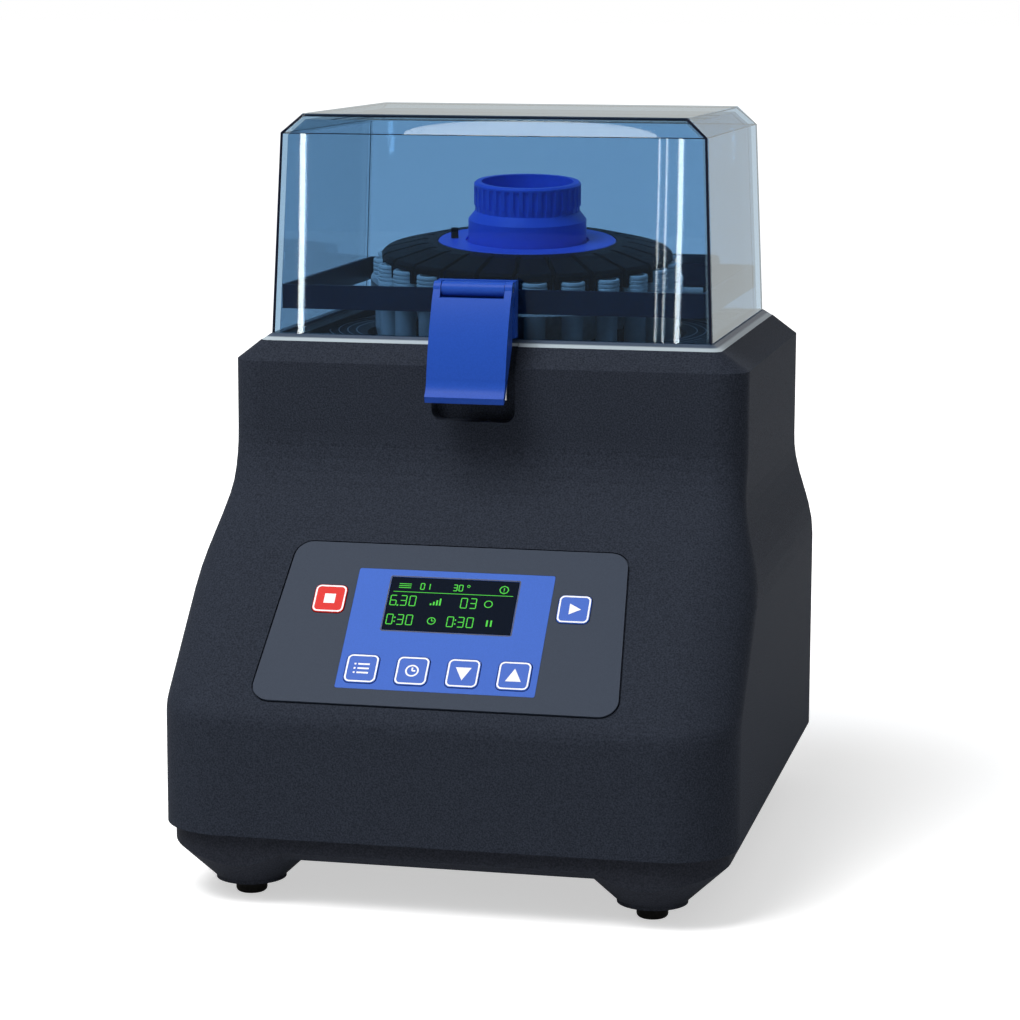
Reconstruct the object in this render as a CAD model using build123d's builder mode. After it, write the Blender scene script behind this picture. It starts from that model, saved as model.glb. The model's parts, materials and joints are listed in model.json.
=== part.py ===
from build123d import *

import os
from math import cos, pi, radians, sin, sqrt, tan

os.makedirs("parts", exist_ok=True)

# In millimetres, with z = 0 at the bottom of the feet and -Y to the front.
# Sizes that drive the rest: the circle of tubes, the height of the rim and the depth of the body
tube_count = 24
tube_circle = 73.4
tube_radius = 5.4
tube_length = 38.0
cap_radius = 6.4
cap_height = 10.0
rim_z = 260.7
axis_y = 40.0
wall = 3.5
seat_gap = 0.3
running_gap = 0.05
back_gap = 0.05

# Rotor, on an axis that leans towards the front right corner
tilt = 5.0
tilt_heading = 12.3
pivot_z = rim_z + 14.3
plate_top = pivot_z + 12
plate_thickness = 6.0
plate_radius = tube_circle + 7.6
tube_hole_gap = 0.15

# Clamp and knob
disc_radius = tube_circle + 1.8
disc_thickness = 6.0
finger_slot = 2.6
skirt_wall = 1.6
skirt_height = 6.0
ring_radius = 46.0
ring_hole = 32.0
ring_thickness = 3.1
knob_radius = 27.6
knob_bore = 23.8
knob_height = 33.0
knob_grip = 12.0
knob_collar = 30.5
knob_flutes = 36
post_radius = 9.0
post_top = plate_top + 37
index_pin_radius = 1.9
index_circle = 37.8
index_angle = 187

# Well and deck under the lid
well_radius = plate_radius + 2
well_floor_z = rim_z - 34.7
well_hole = 34.0
deck_z = rim_z - 2.7
deck_width = 2 * well_radius + 37
deck_depth = 2 * well_radius + 4
deck_thickness = 2.5
rib_count = 4
rib_pitch = 4.6
rib_width = 1.2

# Lid
seal_height = 3.0
lid_wall = 3.0
lid_corner = 3.0
lid_base_width = deck_width + 19.6
lid_base_depth = deck_depth + 11.5
lid_base_z = rim_z + seal_height + seat_gap
lid_wall_width = lid_base_width - 8.2
lid_wall_depth = lid_base_depth - 6.9
lid_wall_z = lid_base_z + 99.1
lid_top_width = lid_base_width - 28.2
lid_top_depth = lid_base_depth - 13.9
lid_top_z = lid_wall_z + 9.7
lid_front = axis_y - lid_base_depth / 2
lid_back = axis_y + lid_base_depth / 2
band_low_z = lid_base_z + 12
band_height = 12.0
band_thickness = 2.0
hinge_y = lid_back + 10.25
hinge_z = lid_base_z + 4.5
hinge_spacing = 140.0
knuckle_radius = 5.0
hinge_pin_radius = 2.0

# Housing
rim_width = lid_base_width + 10.4
rim_front = lid_front - 4.75
rim_back = lid_back + 4.75
shoulder_z = rim_z - 9.7
upper_width = rim_width + 26
upper_front = rim_front - 7.5
upper_back = rim_back + 10.5
housing_width = upper_width + 21
housing_depth = 332.0
lower_corner = 34.0
upper_corner = 16.0
seam_z = 35.5
slope_start_z = 94.2
slope_angle = 45.0
flare_low_z = 141.0
flare_high_z = 195.0
slope_edge_radius = 12.0
slope_blend_radius = 45.0

# Latch
latch_x = -5.0
latch_width = 39.4
latch_pivot_y = lid_front - 9.75
latch_pivot_z = lid_base_z + 25
latch_pin_radius = 1.5
barrel_radius = 3.6
ear_width = 3.6
ear_radius = 4.0
flap_wall = 2.6
recess_width = 42.0
recess_depth = 10.0
recess_low_z = rim_z - 36.7
recess_corner = 5.5

# Control panel on the slope, with distances measured up from its lower edge
panel_x = -3.0
panel_low = 9.8
panel_high = 102.2
panel_base_width = 178.0
panel_top_width = 164.0
panel_corner = 9.0
panel_thickness = 1.6
panel_groove = 0.9
field_width = 96.8
field_low = 18.6
field_high = 87.5
field_thickness = 0.5
display_width = 62.6
display_low = 52.7
display_high = 83.0
key_size = 16.0
key_corner = 3.0
key_pitch = 24.65
key_row = 29.7
side_key_spread = 120.2
side_key_row = 68.7
key_gap = 0.3
key_proud = 0.5
key_depth = 5.0
key_travel = 0.6

# Base and feet
pan_inset = 4.0
pan_lip_z = 27.7
pan_floor_z = 23.0
pan_wall = 2.5
foot_x = housing_width / 2 - 41
foot_y = housing_depth / 2 - 32.5
boss_top_radius = 35.0
boss_low_radius = 17.5
boss_low_z = 9.5
foot_disc_radius = 17.0
foot_disc_thickness = 2.0
foot_radius = 7.6

# Drive
shaft_radius = 10.0
journal_radius = 17.5
bearing_width = 14.0
hub_bearing_outer = 31.0
hub_radius = 37.0
shaft_bearing_outer = 21.0
shaft_bearing_width = 12.0
motor_radius = 50.0
motor_low_z = 46.0
motor_plate_z = well_floor_z - 84
motor_plate_thickness = 8.0
post_spread_x = 168.0
post_spread_y = 110.0
damper_height = 14.0

# Rear panel and what it carries
rear_panel_z = 86.0
rear_opening_width = 190.0
rear_opening_height = 72.0
rear_panel_thickness = 2.0
inlet_x = -66.0
inlet_z = 78.0
rocker_x = -24.0
fan_x = 50.0
fan_size = 60.0
fan_depth = 15.0


def save(part, name):
    part.label = name
    export_step(part, f"parts/{name}.step")


# Each height of the housing has one rounded rectangle, set back by inset
front_y = -housing_depth / 2
back_y = housing_depth / 2
slope_end_z = slope_start_z + (upper_front - front_y) * tan(radians(slope_angle))
half_turn = tan(radians(slope_angle / 2))
edge_reach = slope_edge_radius * half_turn
blend_reach = slope_blend_radius * half_turn


def eased(z):
    share = min(max((z - flare_low_z) / (flare_high_z - flare_low_z), 0.0), 1.0)
    return (1 - cos(pi * share)) / 2


def front_at(z, inset):
    low_z = slope_start_z - inset * half_turn
    high_z = slope_end_z - inset * half_turn
    near = front_y + inset
    far = upper_front + inset
    if z <= low_z - edge_reach:
        return near
    if z <= low_z + edge_reach * sin(radians(slope_angle)):
        rise = z - (low_z - edge_reach)
        return near + slope_edge_radius - sqrt(slope_edge_radius**2 - rise**2)
    if z <= high_z - blend_reach * sin(radians(slope_angle)):
        return near + (z - low_z) / tan(radians(slope_angle))
    if z <= high_z + blend_reach:
        fall = high_z + blend_reach - z
        return far - slope_blend_radius + sqrt(slope_blend_radius**2 - fall**2)
    return far


def housing_outline(z, inset):
    share = eased(z)
    width = housing_width + (upper_width - housing_width) * share
    corner = lower_corner + (upper_corner - lower_corner) * share
    back = back_y + (upper_back - back_y) * share
    return width - 2 * inset, front_at(z, inset), back - inset, corner - inset


def rising(low, high, steps):
    return [low + (high - low) * i / steps for i in range(1, steps + 1)]


def housing_levels(inset):
    low_z = slope_start_z - inset * half_turn
    high_z = slope_end_z - inset * half_turn
    levels = [seam_z, low_z - edge_reach]
    levels += rising(levels[-1], low_z + edge_reach * sin(radians(slope_angle)), 3)
    levels += [flare_low_z]
    levels += rising(flare_low_z, high_z - blend_reach * sin(radians(slope_angle)), 5)
    levels += rising(levels[-1], high_z + blend_reach, 5)
    return levels


def rectangle_at(z, width, depth, corner, y=axis_y):
    with BuildSketch(Plane.XY.offset(z)) as outline:
        with Locations((0, y)):
            RectangleRounded(width, depth, corner)
    return outline.sketch.face()


def housing_sections(inset):
    sections = []
    for level in housing_levels(inset):
        width, front, back, corner = housing_outline(level, inset)
        sections.append(rectangle_at(level, width, back - front, corner, (front + back) / 2))
    return sections


slope_normal = (0, -sin(radians(slope_angle)), cos(radians(slope_angle)))


def slope_plane(x, distance, height=0.0):
    along = radians(slope_angle)
    return Plane(
        origin=(
            x,
            front_y + distance * cos(along) - height * sin(along),
            slope_start_z + distance * sin(along) + height * cos(along),
        ),
        x_dir=(1, 0, 0),
        z_dir=slope_normal,
    )


tilt_axis = (
    sin(radians(tilt_heading)) * sin(radians(tilt)),
    -cos(radians(tilt_heading)) * sin(radians(tilt)),
    cos(radians(tilt)),
)


def rotor_plane(height):
    reach = height - pivot_z
    return Plane(
        origin=(tilt_axis[0] * reach, axis_y + tilt_axis[1] * reach, pivot_z + tilt_axis[2] * reach),
        x_dir=(cos(radians(tilt)), 0, -tilt_axis[0]),
        z_dir=tilt_axis,
    )


def rotor_section():
    base = rotor_plane(pivot_z)
    return Plane(origin=base.origin, x_dir=base.x_dir, z_dir=-base.y_dir)


def axis_plane(height):
    return Plane.XY.offset(height).shift_origin((0, axis_y, height))


def turned(points, section, axis):
    with BuildSketch(section) as outline:
        with BuildLine():
            Polyline(*points, close=True)
        make_face()
    revolve(outline.sketch, axis=axis)


def upright_turned(points):
    turned(points, Plane.XZ.offset(-axis_y), Axis((0, axis_y, 0), (0, 0, 1)))


def tilted_turned(points):
    seat = rotor_plane(pivot_z)
    local = [(r, height - pivot_z) for r, height in points]
    turned(local, rotor_section(), Axis(seat.origin, tilt_axis))


# Places of the keys on the slope, as x and distance up the slope
field_keys = ["program_key", "set_key", "down_key", "up_key"]
key_places = {
    name: (panel_x + (i - 1.5) * key_pitch, key_row) for i, name in enumerate(field_keys)
}
key_places["stop_key"] = (panel_x - side_key_spread / 2, side_key_row)
key_places["run_key"] = (panel_x + side_key_spread / 2, side_key_row)
panel_middle = (panel_low + panel_high) / 2
field_middle = (field_low + field_high) / 2
display_middle = (display_low + display_high) / 2
display_height = display_high - display_low


def panel_shape(height, grow):
    base = panel_base_width / 2 + grow
    top = panel_top_width / 2 + grow
    reach = (panel_high - panel_low) / 2 + grow
    with BuildSketch(slope_plane(panel_x, panel_middle, height)) as outline:
        with BuildLine():
            Polyline((-base, -reach), (base, -reach), (top, reach), (-top, reach), close=True)
        make_face()
        fillet(outline.vertices(), panel_corner + grow)
    return outline.sketch


def cut_keys(height, depth, grow, names):
    for name in names:
        x, distance = key_places[name]
        with BuildSketch(slope_plane(x, distance, height)) as hole:
            RectangleRounded(key_size + 2 * grow, key_size + 2 * grow, key_corner + grow)
        extrude(hole.sketch, amount=-depth, mode=Mode.SUBTRACT)


# Upper housing
panel_step = panel_thickness - field_thickness
board_drop = 16.0
board_post_radius = 3.5
board_width = 176.0
board_height = 84.0
board_post_inset = 6.0

with BuildPart() as cavity:
    inner_shoulder = rectangle_at(
        shoulder_z - wall / 2,
        upper_width - 2 * wall,
        upper_back - upper_front - 2 * wall,
        upper_corner - wall,
        (upper_front + upper_back) / 2,
    )
    inner_rim = rectangle_at(
        rim_z - wall,
        rim_width - 2 * wall,
        rim_back - rim_front - 2 * wall,
        lid_corner,
        (rim_front + rim_back) / 2,
    )
    loft([*housing_sections(wall), inner_shoulder, inner_rim], ruled=True)

with BuildPart() as upper_housing:
    shoulder = rectangle_at(
        shoulder_z,
        upper_width,
        upper_back - upper_front,
        upper_corner,
        (upper_front + upper_back) / 2,
    )
    rim = rectangle_at(rim_z, rim_width, rim_back - rim_front, lid_corner + 2, (rim_front + rim_back) / 2)
    loft([*housing_sections(0), shoulder, rim], ruled=True)
    add(cavity.part, mode=Mode.SUBTRACT)
    # Opening for the deck
    with BuildSketch(Plane.XY.offset(rim_z)):
        with Locations((0, axis_y)):
            RectangleRounded(deck_width + 2 * seat_gap, deck_depth + 2 * seat_gap, lid_corner)
    extrude(amount=-2 * wall, mode=Mode.SUBTRACT)
    # Pocket behind the latch flap
    pocket_face = upper_front + recess_depth
    with BuildSketch(Plane.XZ.offset(-pocket_face - wall)):
        with Locations((latch_x, (recess_low_z - wall + shoulder_z - 1) / 2)):
            Rectangle(recess_width + 2 * wall, shoulder_z - 1 - recess_low_z + wall)
    extrude(amount=recess_depth + wall / 2)
    with BuildSketch(Plane.XZ.offset(-pocket_face - wall)):
        with Locations((latch_x, (shoulder_z - 2 + rim_z) / 2)):
            Rectangle(recess_width + 2 * wall, rim_z - shoulder_z + 2)
    extrude(amount=wall)
    with BuildSketch(Plane.XZ.offset(-pocket_face)):
        with Locations((latch_x, (recess_low_z + rim_z + 10) / 2)):
            RectangleRounded(recess_width, rim_z + 10 - recess_low_z, recess_corner)
    extrude(amount=recess_depth + 5, mode=Mode.SUBTRACT)
    # Seat, window and key holes of the control panel
    extrude(panel_shape(0, panel_groove), amount=-panel_step, mode=Mode.SUBTRACT)
    with BuildSketch(slope_plane(panel_x, display_middle)):
        Rectangle(display_width + 2 * seat_gap, display_height + 2 * seat_gap)
    extrude(amount=-3 * wall, mode=Mode.SUBTRACT)
    cut_keys(0, 3 * wall, 2 * key_gap, key_places)
    # Posts for the control board
    for side in (-1, 1):
        for end in (-1, 1):
            x = panel_x + side * (board_width / 2 - board_post_inset)
            distance = panel_middle + end * (board_height / 2 - board_post_inset)
            with BuildSketch(slope_plane(x, distance, -board_drop + seat_gap)):
                Circle(board_post_radius)
            extrude(amount=board_drop - seat_gap - wall / 2)
    # Opening at the back
    with BuildSketch(Plane.XZ.offset(-back_y)):
        with Locations((0, rear_panel_z)):
            RectangleRounded(rear_opening_width, rear_opening_height, 5)
    extrude(amount=2 * wall, mode=Mode.SUBTRACT)
save(upper_housing.part, "upper_housing")

# Base pan with a boss over each foot
pan_width = housing_width - 2 * pan_inset
pan_depth = housing_depth - 2 * pan_inset
pan_corner = lower_corner - pan_inset
pan_taper = 6.0
foot_places = [(x, y) for x in (-foot_x, foot_x) for y in (-foot_y, foot_y)]

boss_height = pan_lip_z - boss_low_z
with BuildPart() as bosses:
    with Locations(*[(x, y, boss_low_z + boss_height / 2) for x, y in foot_places]):
        Cone(boss_low_radius, boss_top_radius + 2, boss_height)
    limit = rectangle_at(seam_z, pan_width, pan_depth, pan_corner, 0)
    extrude(limit, amount=-seam_z, mode=Mode.INTERSECT)

with BuildPart() as pan_cavity:
    pan_mouth = rectangle_at(seam_z, pan_width - 2 * pan_wall, pan_depth - 2 * pan_wall, pan_corner - pan_wall, 0)
    pan_floor = rectangle_at(
        pan_floor_z + pan_wall,
        pan_width - 2 * pan_taper - pan_wall,
        pan_depth - 2 * pan_taper - pan_wall,
        pan_corner - pan_taper / 2 - pan_wall,
        0,
    )
    loft([pan_mouth, pan_floor], ruled=True)

with BuildPart() as base_pan:
    pan_rim = rectangle_at(seam_z - seat_gap, pan_width, pan_depth, pan_corner, 0)
    pan_lip = rectangle_at(pan_lip_z, pan_width, pan_depth, pan_corner, 0)
    tapered = (pan_width - 2 * pan_taper, pan_depth - 2 * pan_taper)
    pan_base = rectangle_at(pan_floor_z, *tapered, pan_corner - pan_taper / 2, 0)
    loft([pan_rim, pan_lip, pan_base], ruled=True)
    add(bosses.part)
    add(pan_cavity.part, mode=Mode.SUBTRACT)
save(base_pan.part, "base_pan")

# Feet
foot_disc_low = boss_low_z - foot_disc_thickness
with BuildPart() as foot_discs:
    with BuildSketch(Plane.XY.offset(foot_disc_low)):
        with Locations(*foot_places):
            Circle(foot_disc_radius)
    extrude(amount=foot_disc_thickness)
save(foot_discs.part, "foot_discs")

with BuildPart() as rubber_feet:
    with BuildSketch():
        with Locations(*foot_places):
            Circle(foot_radius)
    extrude(amount=foot_disc_low)
    fillet(rubber_feet.faces().sort_by(Axis.Z)[:4].edges(), 2.0)
save(rubber_feet.part, "rubber_feet")

# Control panel, its blue field and the display
with BuildPart() as control_panel:
    extrude(panel_shape(-panel_step, 0), amount=panel_thickness)
    with BuildSketch(slope_plane(panel_x, field_middle, panel_thickness - panel_step)):
        RectangleRounded(field_width + 0.2, field_high - field_low + 0.2, 1)
    extrude(amount=-field_thickness, mode=Mode.SUBTRACT)
    with BuildSketch(slope_plane(panel_x, display_middle)):
        Rectangle(display_width + 2 * seat_gap, display_height + 2 * seat_gap)
    extrude(amount=5, both=True, mode=Mode.SUBTRACT)
    cut_keys(2, 6, key_gap, key_places)
save(control_panel.part, "control_panel")

with BuildPart() as key_field:
    with BuildSketch(slope_plane(panel_x, field_middle)):
        RectangleRounded(field_width, field_high - field_low, 1)
    extrude(amount=field_thickness)
    with BuildSketch(slope_plane(panel_x, display_middle)):
        Rectangle(display_width + 2 * seat_gap, display_height + 2 * seat_gap)
    extrude(amount=5, both=True, mode=Mode.SUBTRACT)
    cut_keys(2, 6, key_gap, field_keys)
save(key_field.part, "key_field")

window_thickness = 2.0
with BuildPart() as display_window:
    with BuildSketch(slope_plane(panel_x, display_middle, field_thickness)):
        Rectangle(display_width, display_height)
    extrude(amount=-window_thickness)
save(display_window.part, "display_window")

board_thickness = 1.6
with BuildPart() as display_module:
    with BuildSketch(slope_plane(panel_x, display_middle, field_thickness - window_thickness - 0.1)):
        Rectangle(display_width - 2, display_height - 1)
    extrude(amount=-(board_drop + field_thickness - window_thickness - 0.2))
save(display_module.part, "display_module")

with BuildPart() as control_board:
    with BuildSketch(slope_plane(panel_x, panel_middle, -board_drop)):
        RectangleRounded(board_width, board_height, 2)
    extrude(amount=-board_thickness)
    for side in (-1, 1):
        with BuildSketch(slope_plane(panel_x + side * 50, field_middle, -board_drop - board_thickness)):
            Rectangle(26, 20)
        extrude(amount=-6)
save(control_board.part, "control_board")

# Keys and the switches under them
key_top = field_thickness + key_proud
for name, (x, distance) in key_places.items():
    with BuildPart() as key:
        with BuildSketch(slope_plane(x, distance, key_top)):
            RectangleRounded(key_size, key_size, key_corner)
        extrude(amount=-key_depth)
        fillet(key.faces().sort_by(Axis(key.part.center(), slope_normal))[-1].edges(), 0.4)
    save(key.part, name)

switch_top = key_top - key_depth - key_travel - 0.3
with BuildPart() as key_switches:
    for x, distance in key_places.values():
        with BuildSketch(slope_plane(x, distance, -board_drop)):
            Rectangle(6, 6)
        extrude(amount=switch_top + board_drop - 2)
        with BuildSketch(slope_plane(x, distance, switch_top - 2)):
            Circle(1.75)
        extrude(amount=2)
save(key_switches.part, "key_switches")

# Deck and rotor well under the lid
well_wall = 2.0
deck_lip = 1.5
seal_inner_width = lid_base_width - 2 * lid_wall - 2 * seat_gap
seal_inner_depth = lid_base_depth - 2 * lid_wall - 2 * seat_gap
with BuildPart() as chamber_tub:
    with BuildSketch(Plane.XY.offset(deck_z)):
        with Locations((0, axis_y)):
            RectangleRounded(deck_width, deck_depth, lid_corner)
    extrude(amount=-deck_thickness)
    with BuildSketch(Plane.XY.offset(deck_z)):
        with Locations((0, axis_y)):
            RectangleRounded(deck_width, deck_depth, lid_corner)
            RectangleRounded(deck_width - 2 * well_wall, deck_depth - 2 * well_wall, 2, mode=Mode.SUBTRACT)
    extrude(amount=rim_z + deck_lip - deck_z)
    with BuildSketch(Plane.XY.offset(rim_z)):
        with Locations((0, axis_y)):
            RectangleRounded(seal_inner_width - 2 * seat_gap, seal_inner_depth - 2 * seat_gap, lid_corner)
            RectangleRounded(deck_width - 2 * well_wall, deck_depth - 2 * well_wall, 2, mode=Mode.SUBTRACT)
    extrude(amount=deck_lip)
    # Fine round ribs that show in the corners
    with BuildSketch(Plane.XY.offset(deck_z)):
        with Locations((0, axis_y)):
            for i in range(rib_count):
                Circle(well_radius + 5 + i * rib_pitch + rib_width)
                Circle(well_radius + 5 + i * rib_pitch, mode=Mode.SUBTRACT)
            Rectangle(deck_width - 2, deck_depth - 2, mode=Mode.INTERSECT)
    extrude(amount=1.2)
    upright_turned(
        [
            (well_hole, well_floor_z),
            (well_hole, well_floor_z - well_wall),
            (well_radius + 1.9, well_floor_z - well_wall),
            (well_radius + 1.9, deck_z - 1),
            (well_radius - 1.5, deck_z - 1),
            (well_radius, well_floor_z),
        ]
    )
    with BuildSketch(Plane.XY.offset(deck_z + 10)):
        with Locations((0, axis_y)):
            Circle(well_radius)
    extrude(amount=-(deck_z + 10 - well_floor_z), mode=Mode.SUBTRACT)
save(chamber_tub.part, "chamber_tub")

# Corrugated rubber boot around the drive
boot_low_radius = 52.0
boot_top_radius = 43.0
boot_top_z = well_floor_z + 23
boot_folds = 4
boot_wall = 1.5
fold_depth = 4.0


def boot_profile():
    outer = []
    inner = []
    rise = (boot_top_z - well_floor_z - 2) / boot_folds
    for fold in range(boot_folds + 1):
        share = fold / boot_folds
        ridge = boot_low_radius + (boot_top_radius - boot_low_radius) * share
        height = well_floor_z + 2 + rise * fold
        outer.append((ridge, height))
        inner.append((ridge - boot_wall, height))
        if fold < boot_folds:
            outer.append((ridge - fold_depth, height + rise / 2))
            inner.append((ridge - fold_depth - boot_wall, height + rise / 2))
    foot = [(boot_low_radius - boot_wall, well_floor_z), (boot_low_radius + 4, well_floor_z)]
    return foot + [(boot_low_radius + 4, well_floor_z + 2)] + outer + inner[::-1]


with BuildPart() as drive_boot:
    upright_turned(boot_profile())
save(drive_boot.part, "drive_boot")

# Seal that the lid closes on
with BuildPart() as lid_seal:
    rim_middle = (rim_front + rim_back) / 2
    seal_low = rectangle_at(rim_z, rim_width - 0.6, rim_back - rim_front - 0.6, lid_corner + 2, rim_middle)
    seal_high = rectangle_at(rim_z + seal_height, lid_base_width + 1.5, lid_base_depth + 1.5, lid_corner + 1)
    loft([seal_low, seal_high], ruled=True)
    with BuildSketch(Plane.XY.offset(rim_z)):
        with Locations((0, axis_y)):
            RectangleRounded(seal_inner_width, seal_inner_depth, lid_corner)
    extrude(amount=seal_height, mode=Mode.SUBTRACT)
    with BuildSketch(Plane.XZ.offset(-rim_front)):
        with Locations((latch_x, rim_z)):
            Rectangle(recess_width, 4 * seal_height)
    extrude(amount=-(upper_front + recess_depth - rim_front), mode=Mode.SUBTRACT)
save(lid_seal.part, "lid_seal")


# Transparent lid
def lid_front_at(z):
    share = (z - lid_base_z) / (lid_wall_z - lid_base_z)
    return axis_y - (lid_base_depth + (lid_wall_depth - lid_base_depth) * share) / 2


shrink = 2 * lid_wall
inner_corner = lid_corner - 1.5
with BuildPart() as lid_inside:
    mouth = rectangle_at(lid_base_z, lid_base_width - shrink, lid_base_depth - shrink, inner_corner)
    turn = rectangle_at(lid_wall_z - 1, lid_wall_width - shrink, lid_wall_depth - shrink, inner_corner)
    ceiling = rectangle_at(lid_top_z - lid_wall, lid_top_width - lid_wall, lid_top_depth - lid_wall, inner_corner)
    loft([mouth, turn, ceiling], ruled=True)

with BuildPart() as lid_cover:
    base = rectangle_at(lid_base_z, lid_base_width, lid_base_depth, lid_corner)
    bevel = rectangle_at(lid_wall_z, lid_wall_width, lid_wall_depth, lid_corner)
    top = rectangle_at(lid_top_z, lid_top_width, lid_top_depth, lid_corner)
    loft([base, bevel, top], ruled=True)
    add(lid_inside.part, mode=Mode.SUBTRACT)
save(lid_cover.part, "lid_cover")

# Flat bar frame inside the lid
band_share = (band_low_z + band_height - lid_base_z) / (lid_wall_z - lid_base_z)
band_width = lid_base_width + (lid_wall_width - lid_base_width) * band_share - 2 * lid_wall - 0.4
band_depth = lid_base_depth + (lid_wall_depth - lid_base_depth) * band_share - 2 * lid_wall - 0.4
with BuildPart() as lid_frame:
    with BuildSketch(Plane.XY.offset(band_low_z)):
        with Locations((0, axis_y)):
            RectangleRounded(band_width, band_depth, lid_corner - 1.5)
            offset(amount=-band_thickness, kind=Kind.INTERSECTION, mode=Mode.SUBTRACT)
    extrude(amount=band_height)
save(lid_frame.part, "lid_frame")

# Hinges at the back, with the middle knuckle on the housing
leaf_width = 34.0
middle_knuckle = 16.0
leaf_thickness = 3.0
side_knuckle = (leaf_width - middle_knuckle) / 2 - seat_gap
hinge_xs = (-hinge_spacing / 2, hinge_spacing / 2)
leaf_height = 22.0
leaf_low_z = hinge_z - 42.5


def hinge_round(x, width, radius):
    with BuildSketch(Plane.YZ.offset(x - width / 2)) as outline:
        with Locations((hinge_y, hinge_z)):
            Circle(radius)
    return outline.sketch


with BuildPart() as housing_hinges:
    leaf_face = upper_back + back_gap
    for x in hinge_xs:
        with BuildSketch(Plane.YZ.offset(x - middle_knuckle / 2)):
            with BuildLine():
                Polyline(
                    (leaf_face, leaf_low_z),
                    (leaf_face + leaf_thickness, leaf_low_z),
                    (leaf_face + leaf_thickness, hinge_z - 8),
                    (hinge_y + 3.5, hinge_z + 3.5),
                    (hinge_y - 3, hinge_z - 4),
                    (leaf_face - 2, shoulder_z + 4),
                    (leaf_face, shoulder_z + 1.5),
                    close=True,
                )
            make_face()
        extrude(amount=middle_knuckle)
        with BuildSketch(Plane.XZ.offset(-leaf_face)):
            with Locations((x, leaf_low_z + leaf_height / 2)):
                RectangleRounded(leaf_width, leaf_height, 3)
        extrude(amount=-leaf_thickness)
        extrude(hinge_round(x, middle_knuckle, knuckle_radius), amount=middle_knuckle)
        hole = hinge_round(x, middle_knuckle, hinge_pin_radius + running_gap)
        extrude(hole, amount=middle_knuckle, mode=Mode.SUBTRACT)
save(housing_hinges.part, "housing_hinges")

with BuildPart() as lid_hinges:
    for x in hinge_xs:
        for side in (-1, 1):
            centre = x + side * (middle_knuckle / 2 + seat_gap + side_knuckle / 2)
            with BuildSketch(Plane.YZ.offset(centre - side_knuckle / 2)):
                with BuildLine():
                    Polyline(
                        (lid_back + 0.1, hinge_z + 2),
                        (hinge_y, hinge_z - knuckle_radius + 0.5),
                        (hinge_y, hinge_z + knuckle_radius),
                        (lid_back + 3, hinge_z + 12),
                        (lid_back - 0.1, hinge_z + 12),
                        close=True,
                    )
                make_face()
            extrude(amount=side_knuckle)
            extrude(hinge_round(centre, side_knuckle, knuckle_radius), amount=side_knuckle)
            hole = hinge_round(centre, side_knuckle, hinge_pin_radius + running_gap)
            extrude(hole, amount=side_knuckle, mode=Mode.SUBTRACT)
        with BuildSketch(Plane.XZ.offset(-lid_back - 0.1)):
            with Locations((x, hinge_z + 15)):
                RectangleRounded(leaf_width, 18, 3)
        extrude(amount=-leaf_thickness)
save(lid_hinges.part, "lid_hinges")

with BuildPart() as hinge_pins:
    for x in hinge_xs:
        with BuildSketch(Plane.YZ.offset(x - leaf_width / 2)):
            with Locations((hinge_y, hinge_z)):
                Circle(hinge_pin_radius)
        extrude(amount=leaf_width)
save(hinge_pins.part, "hinge_pins")

# Latch on the front of the lid
latch_low_x = latch_x - latch_width / 2
barrel_length = latch_width - 2 * ear_width - 2 * seat_gap
bracket_face = latch_pivot_y + ear_radius + seat_gap
bracket_low_z = lid_base_z + 1
bracket_high_z = latch_pivot_z + ear_radius
with BuildPart() as latch_bracket:
    with BuildSketch(Plane.YZ.offset(latch_low_x)):
        with BuildLine():
            Polyline(
                (lid_front_at(bracket_low_z) - back_gap, bracket_low_z),
                (lid_front_at(bracket_high_z) - back_gap, bracket_high_z),
                (bracket_face, bracket_high_z),
                (bracket_face, bracket_low_z),
                close=True,
            )
        make_face()
    extrude(amount=latch_width)
    with BuildSketch(Plane.YZ.offset(latch_x - barrel_length / 2)):
        with Locations((latch_pivot_y, latch_pivot_z)):
            Circle(barrel_radius)
        with Locations(((latch_pivot_y + bracket_face) / 2, latch_pivot_z)):
            Rectangle(bracket_face - latch_pivot_y + 1, 2 * barrel_radius)
    extrude(amount=barrel_length)
    with BuildSketch(Plane.YZ.offset(latch_low_x)):
        with Locations((latch_pivot_y, latch_pivot_z)):
            Circle(latch_pin_radius + running_gap)
    extrude(amount=latch_width, mode=Mode.SUBTRACT)
save(latch_bracket.part, "latch_bracket")

with BuildPart() as latch_pin:
    with BuildSketch(Plane.YZ.offset(latch_low_x + 0.2)):
        with Locations((latch_pivot_y, latch_pivot_z)):
            Circle(latch_pin_radius)
    extrude(amount=latch_width - 0.4)
save(latch_pin.part, "latch_pin")

# Flap: its front bows out, and its lower lip turns out for the finger
flap_top = (latch_pivot_y - ear_radius, latch_pivot_z)
flap_mid = (latch_pivot_y - 12.9, latch_pivot_z - 20)
flap_low = (latch_pivot_y - 18.5, latch_pivot_z - 42)
lip_mid = (latch_pivot_y - 19.9, latch_pivot_z - 47)
lip_end = (latch_pivot_y - 22.7, latch_pivot_z - 50.8)
lip_base = (latch_pivot_y - 21.5, latch_pivot_z - 53.8)
lip_back = (latch_pivot_y - 19.1, latch_pivot_z - 52)
flap_back_y = upper_front - 2 * seat_gap
flange_turn_z = latch_pivot_z - 27
flange_low_z = latch_pivot_z - 43
catch_nose = upper_front + 3.1
catch_nose_z = latch_pivot_z - 41


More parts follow.
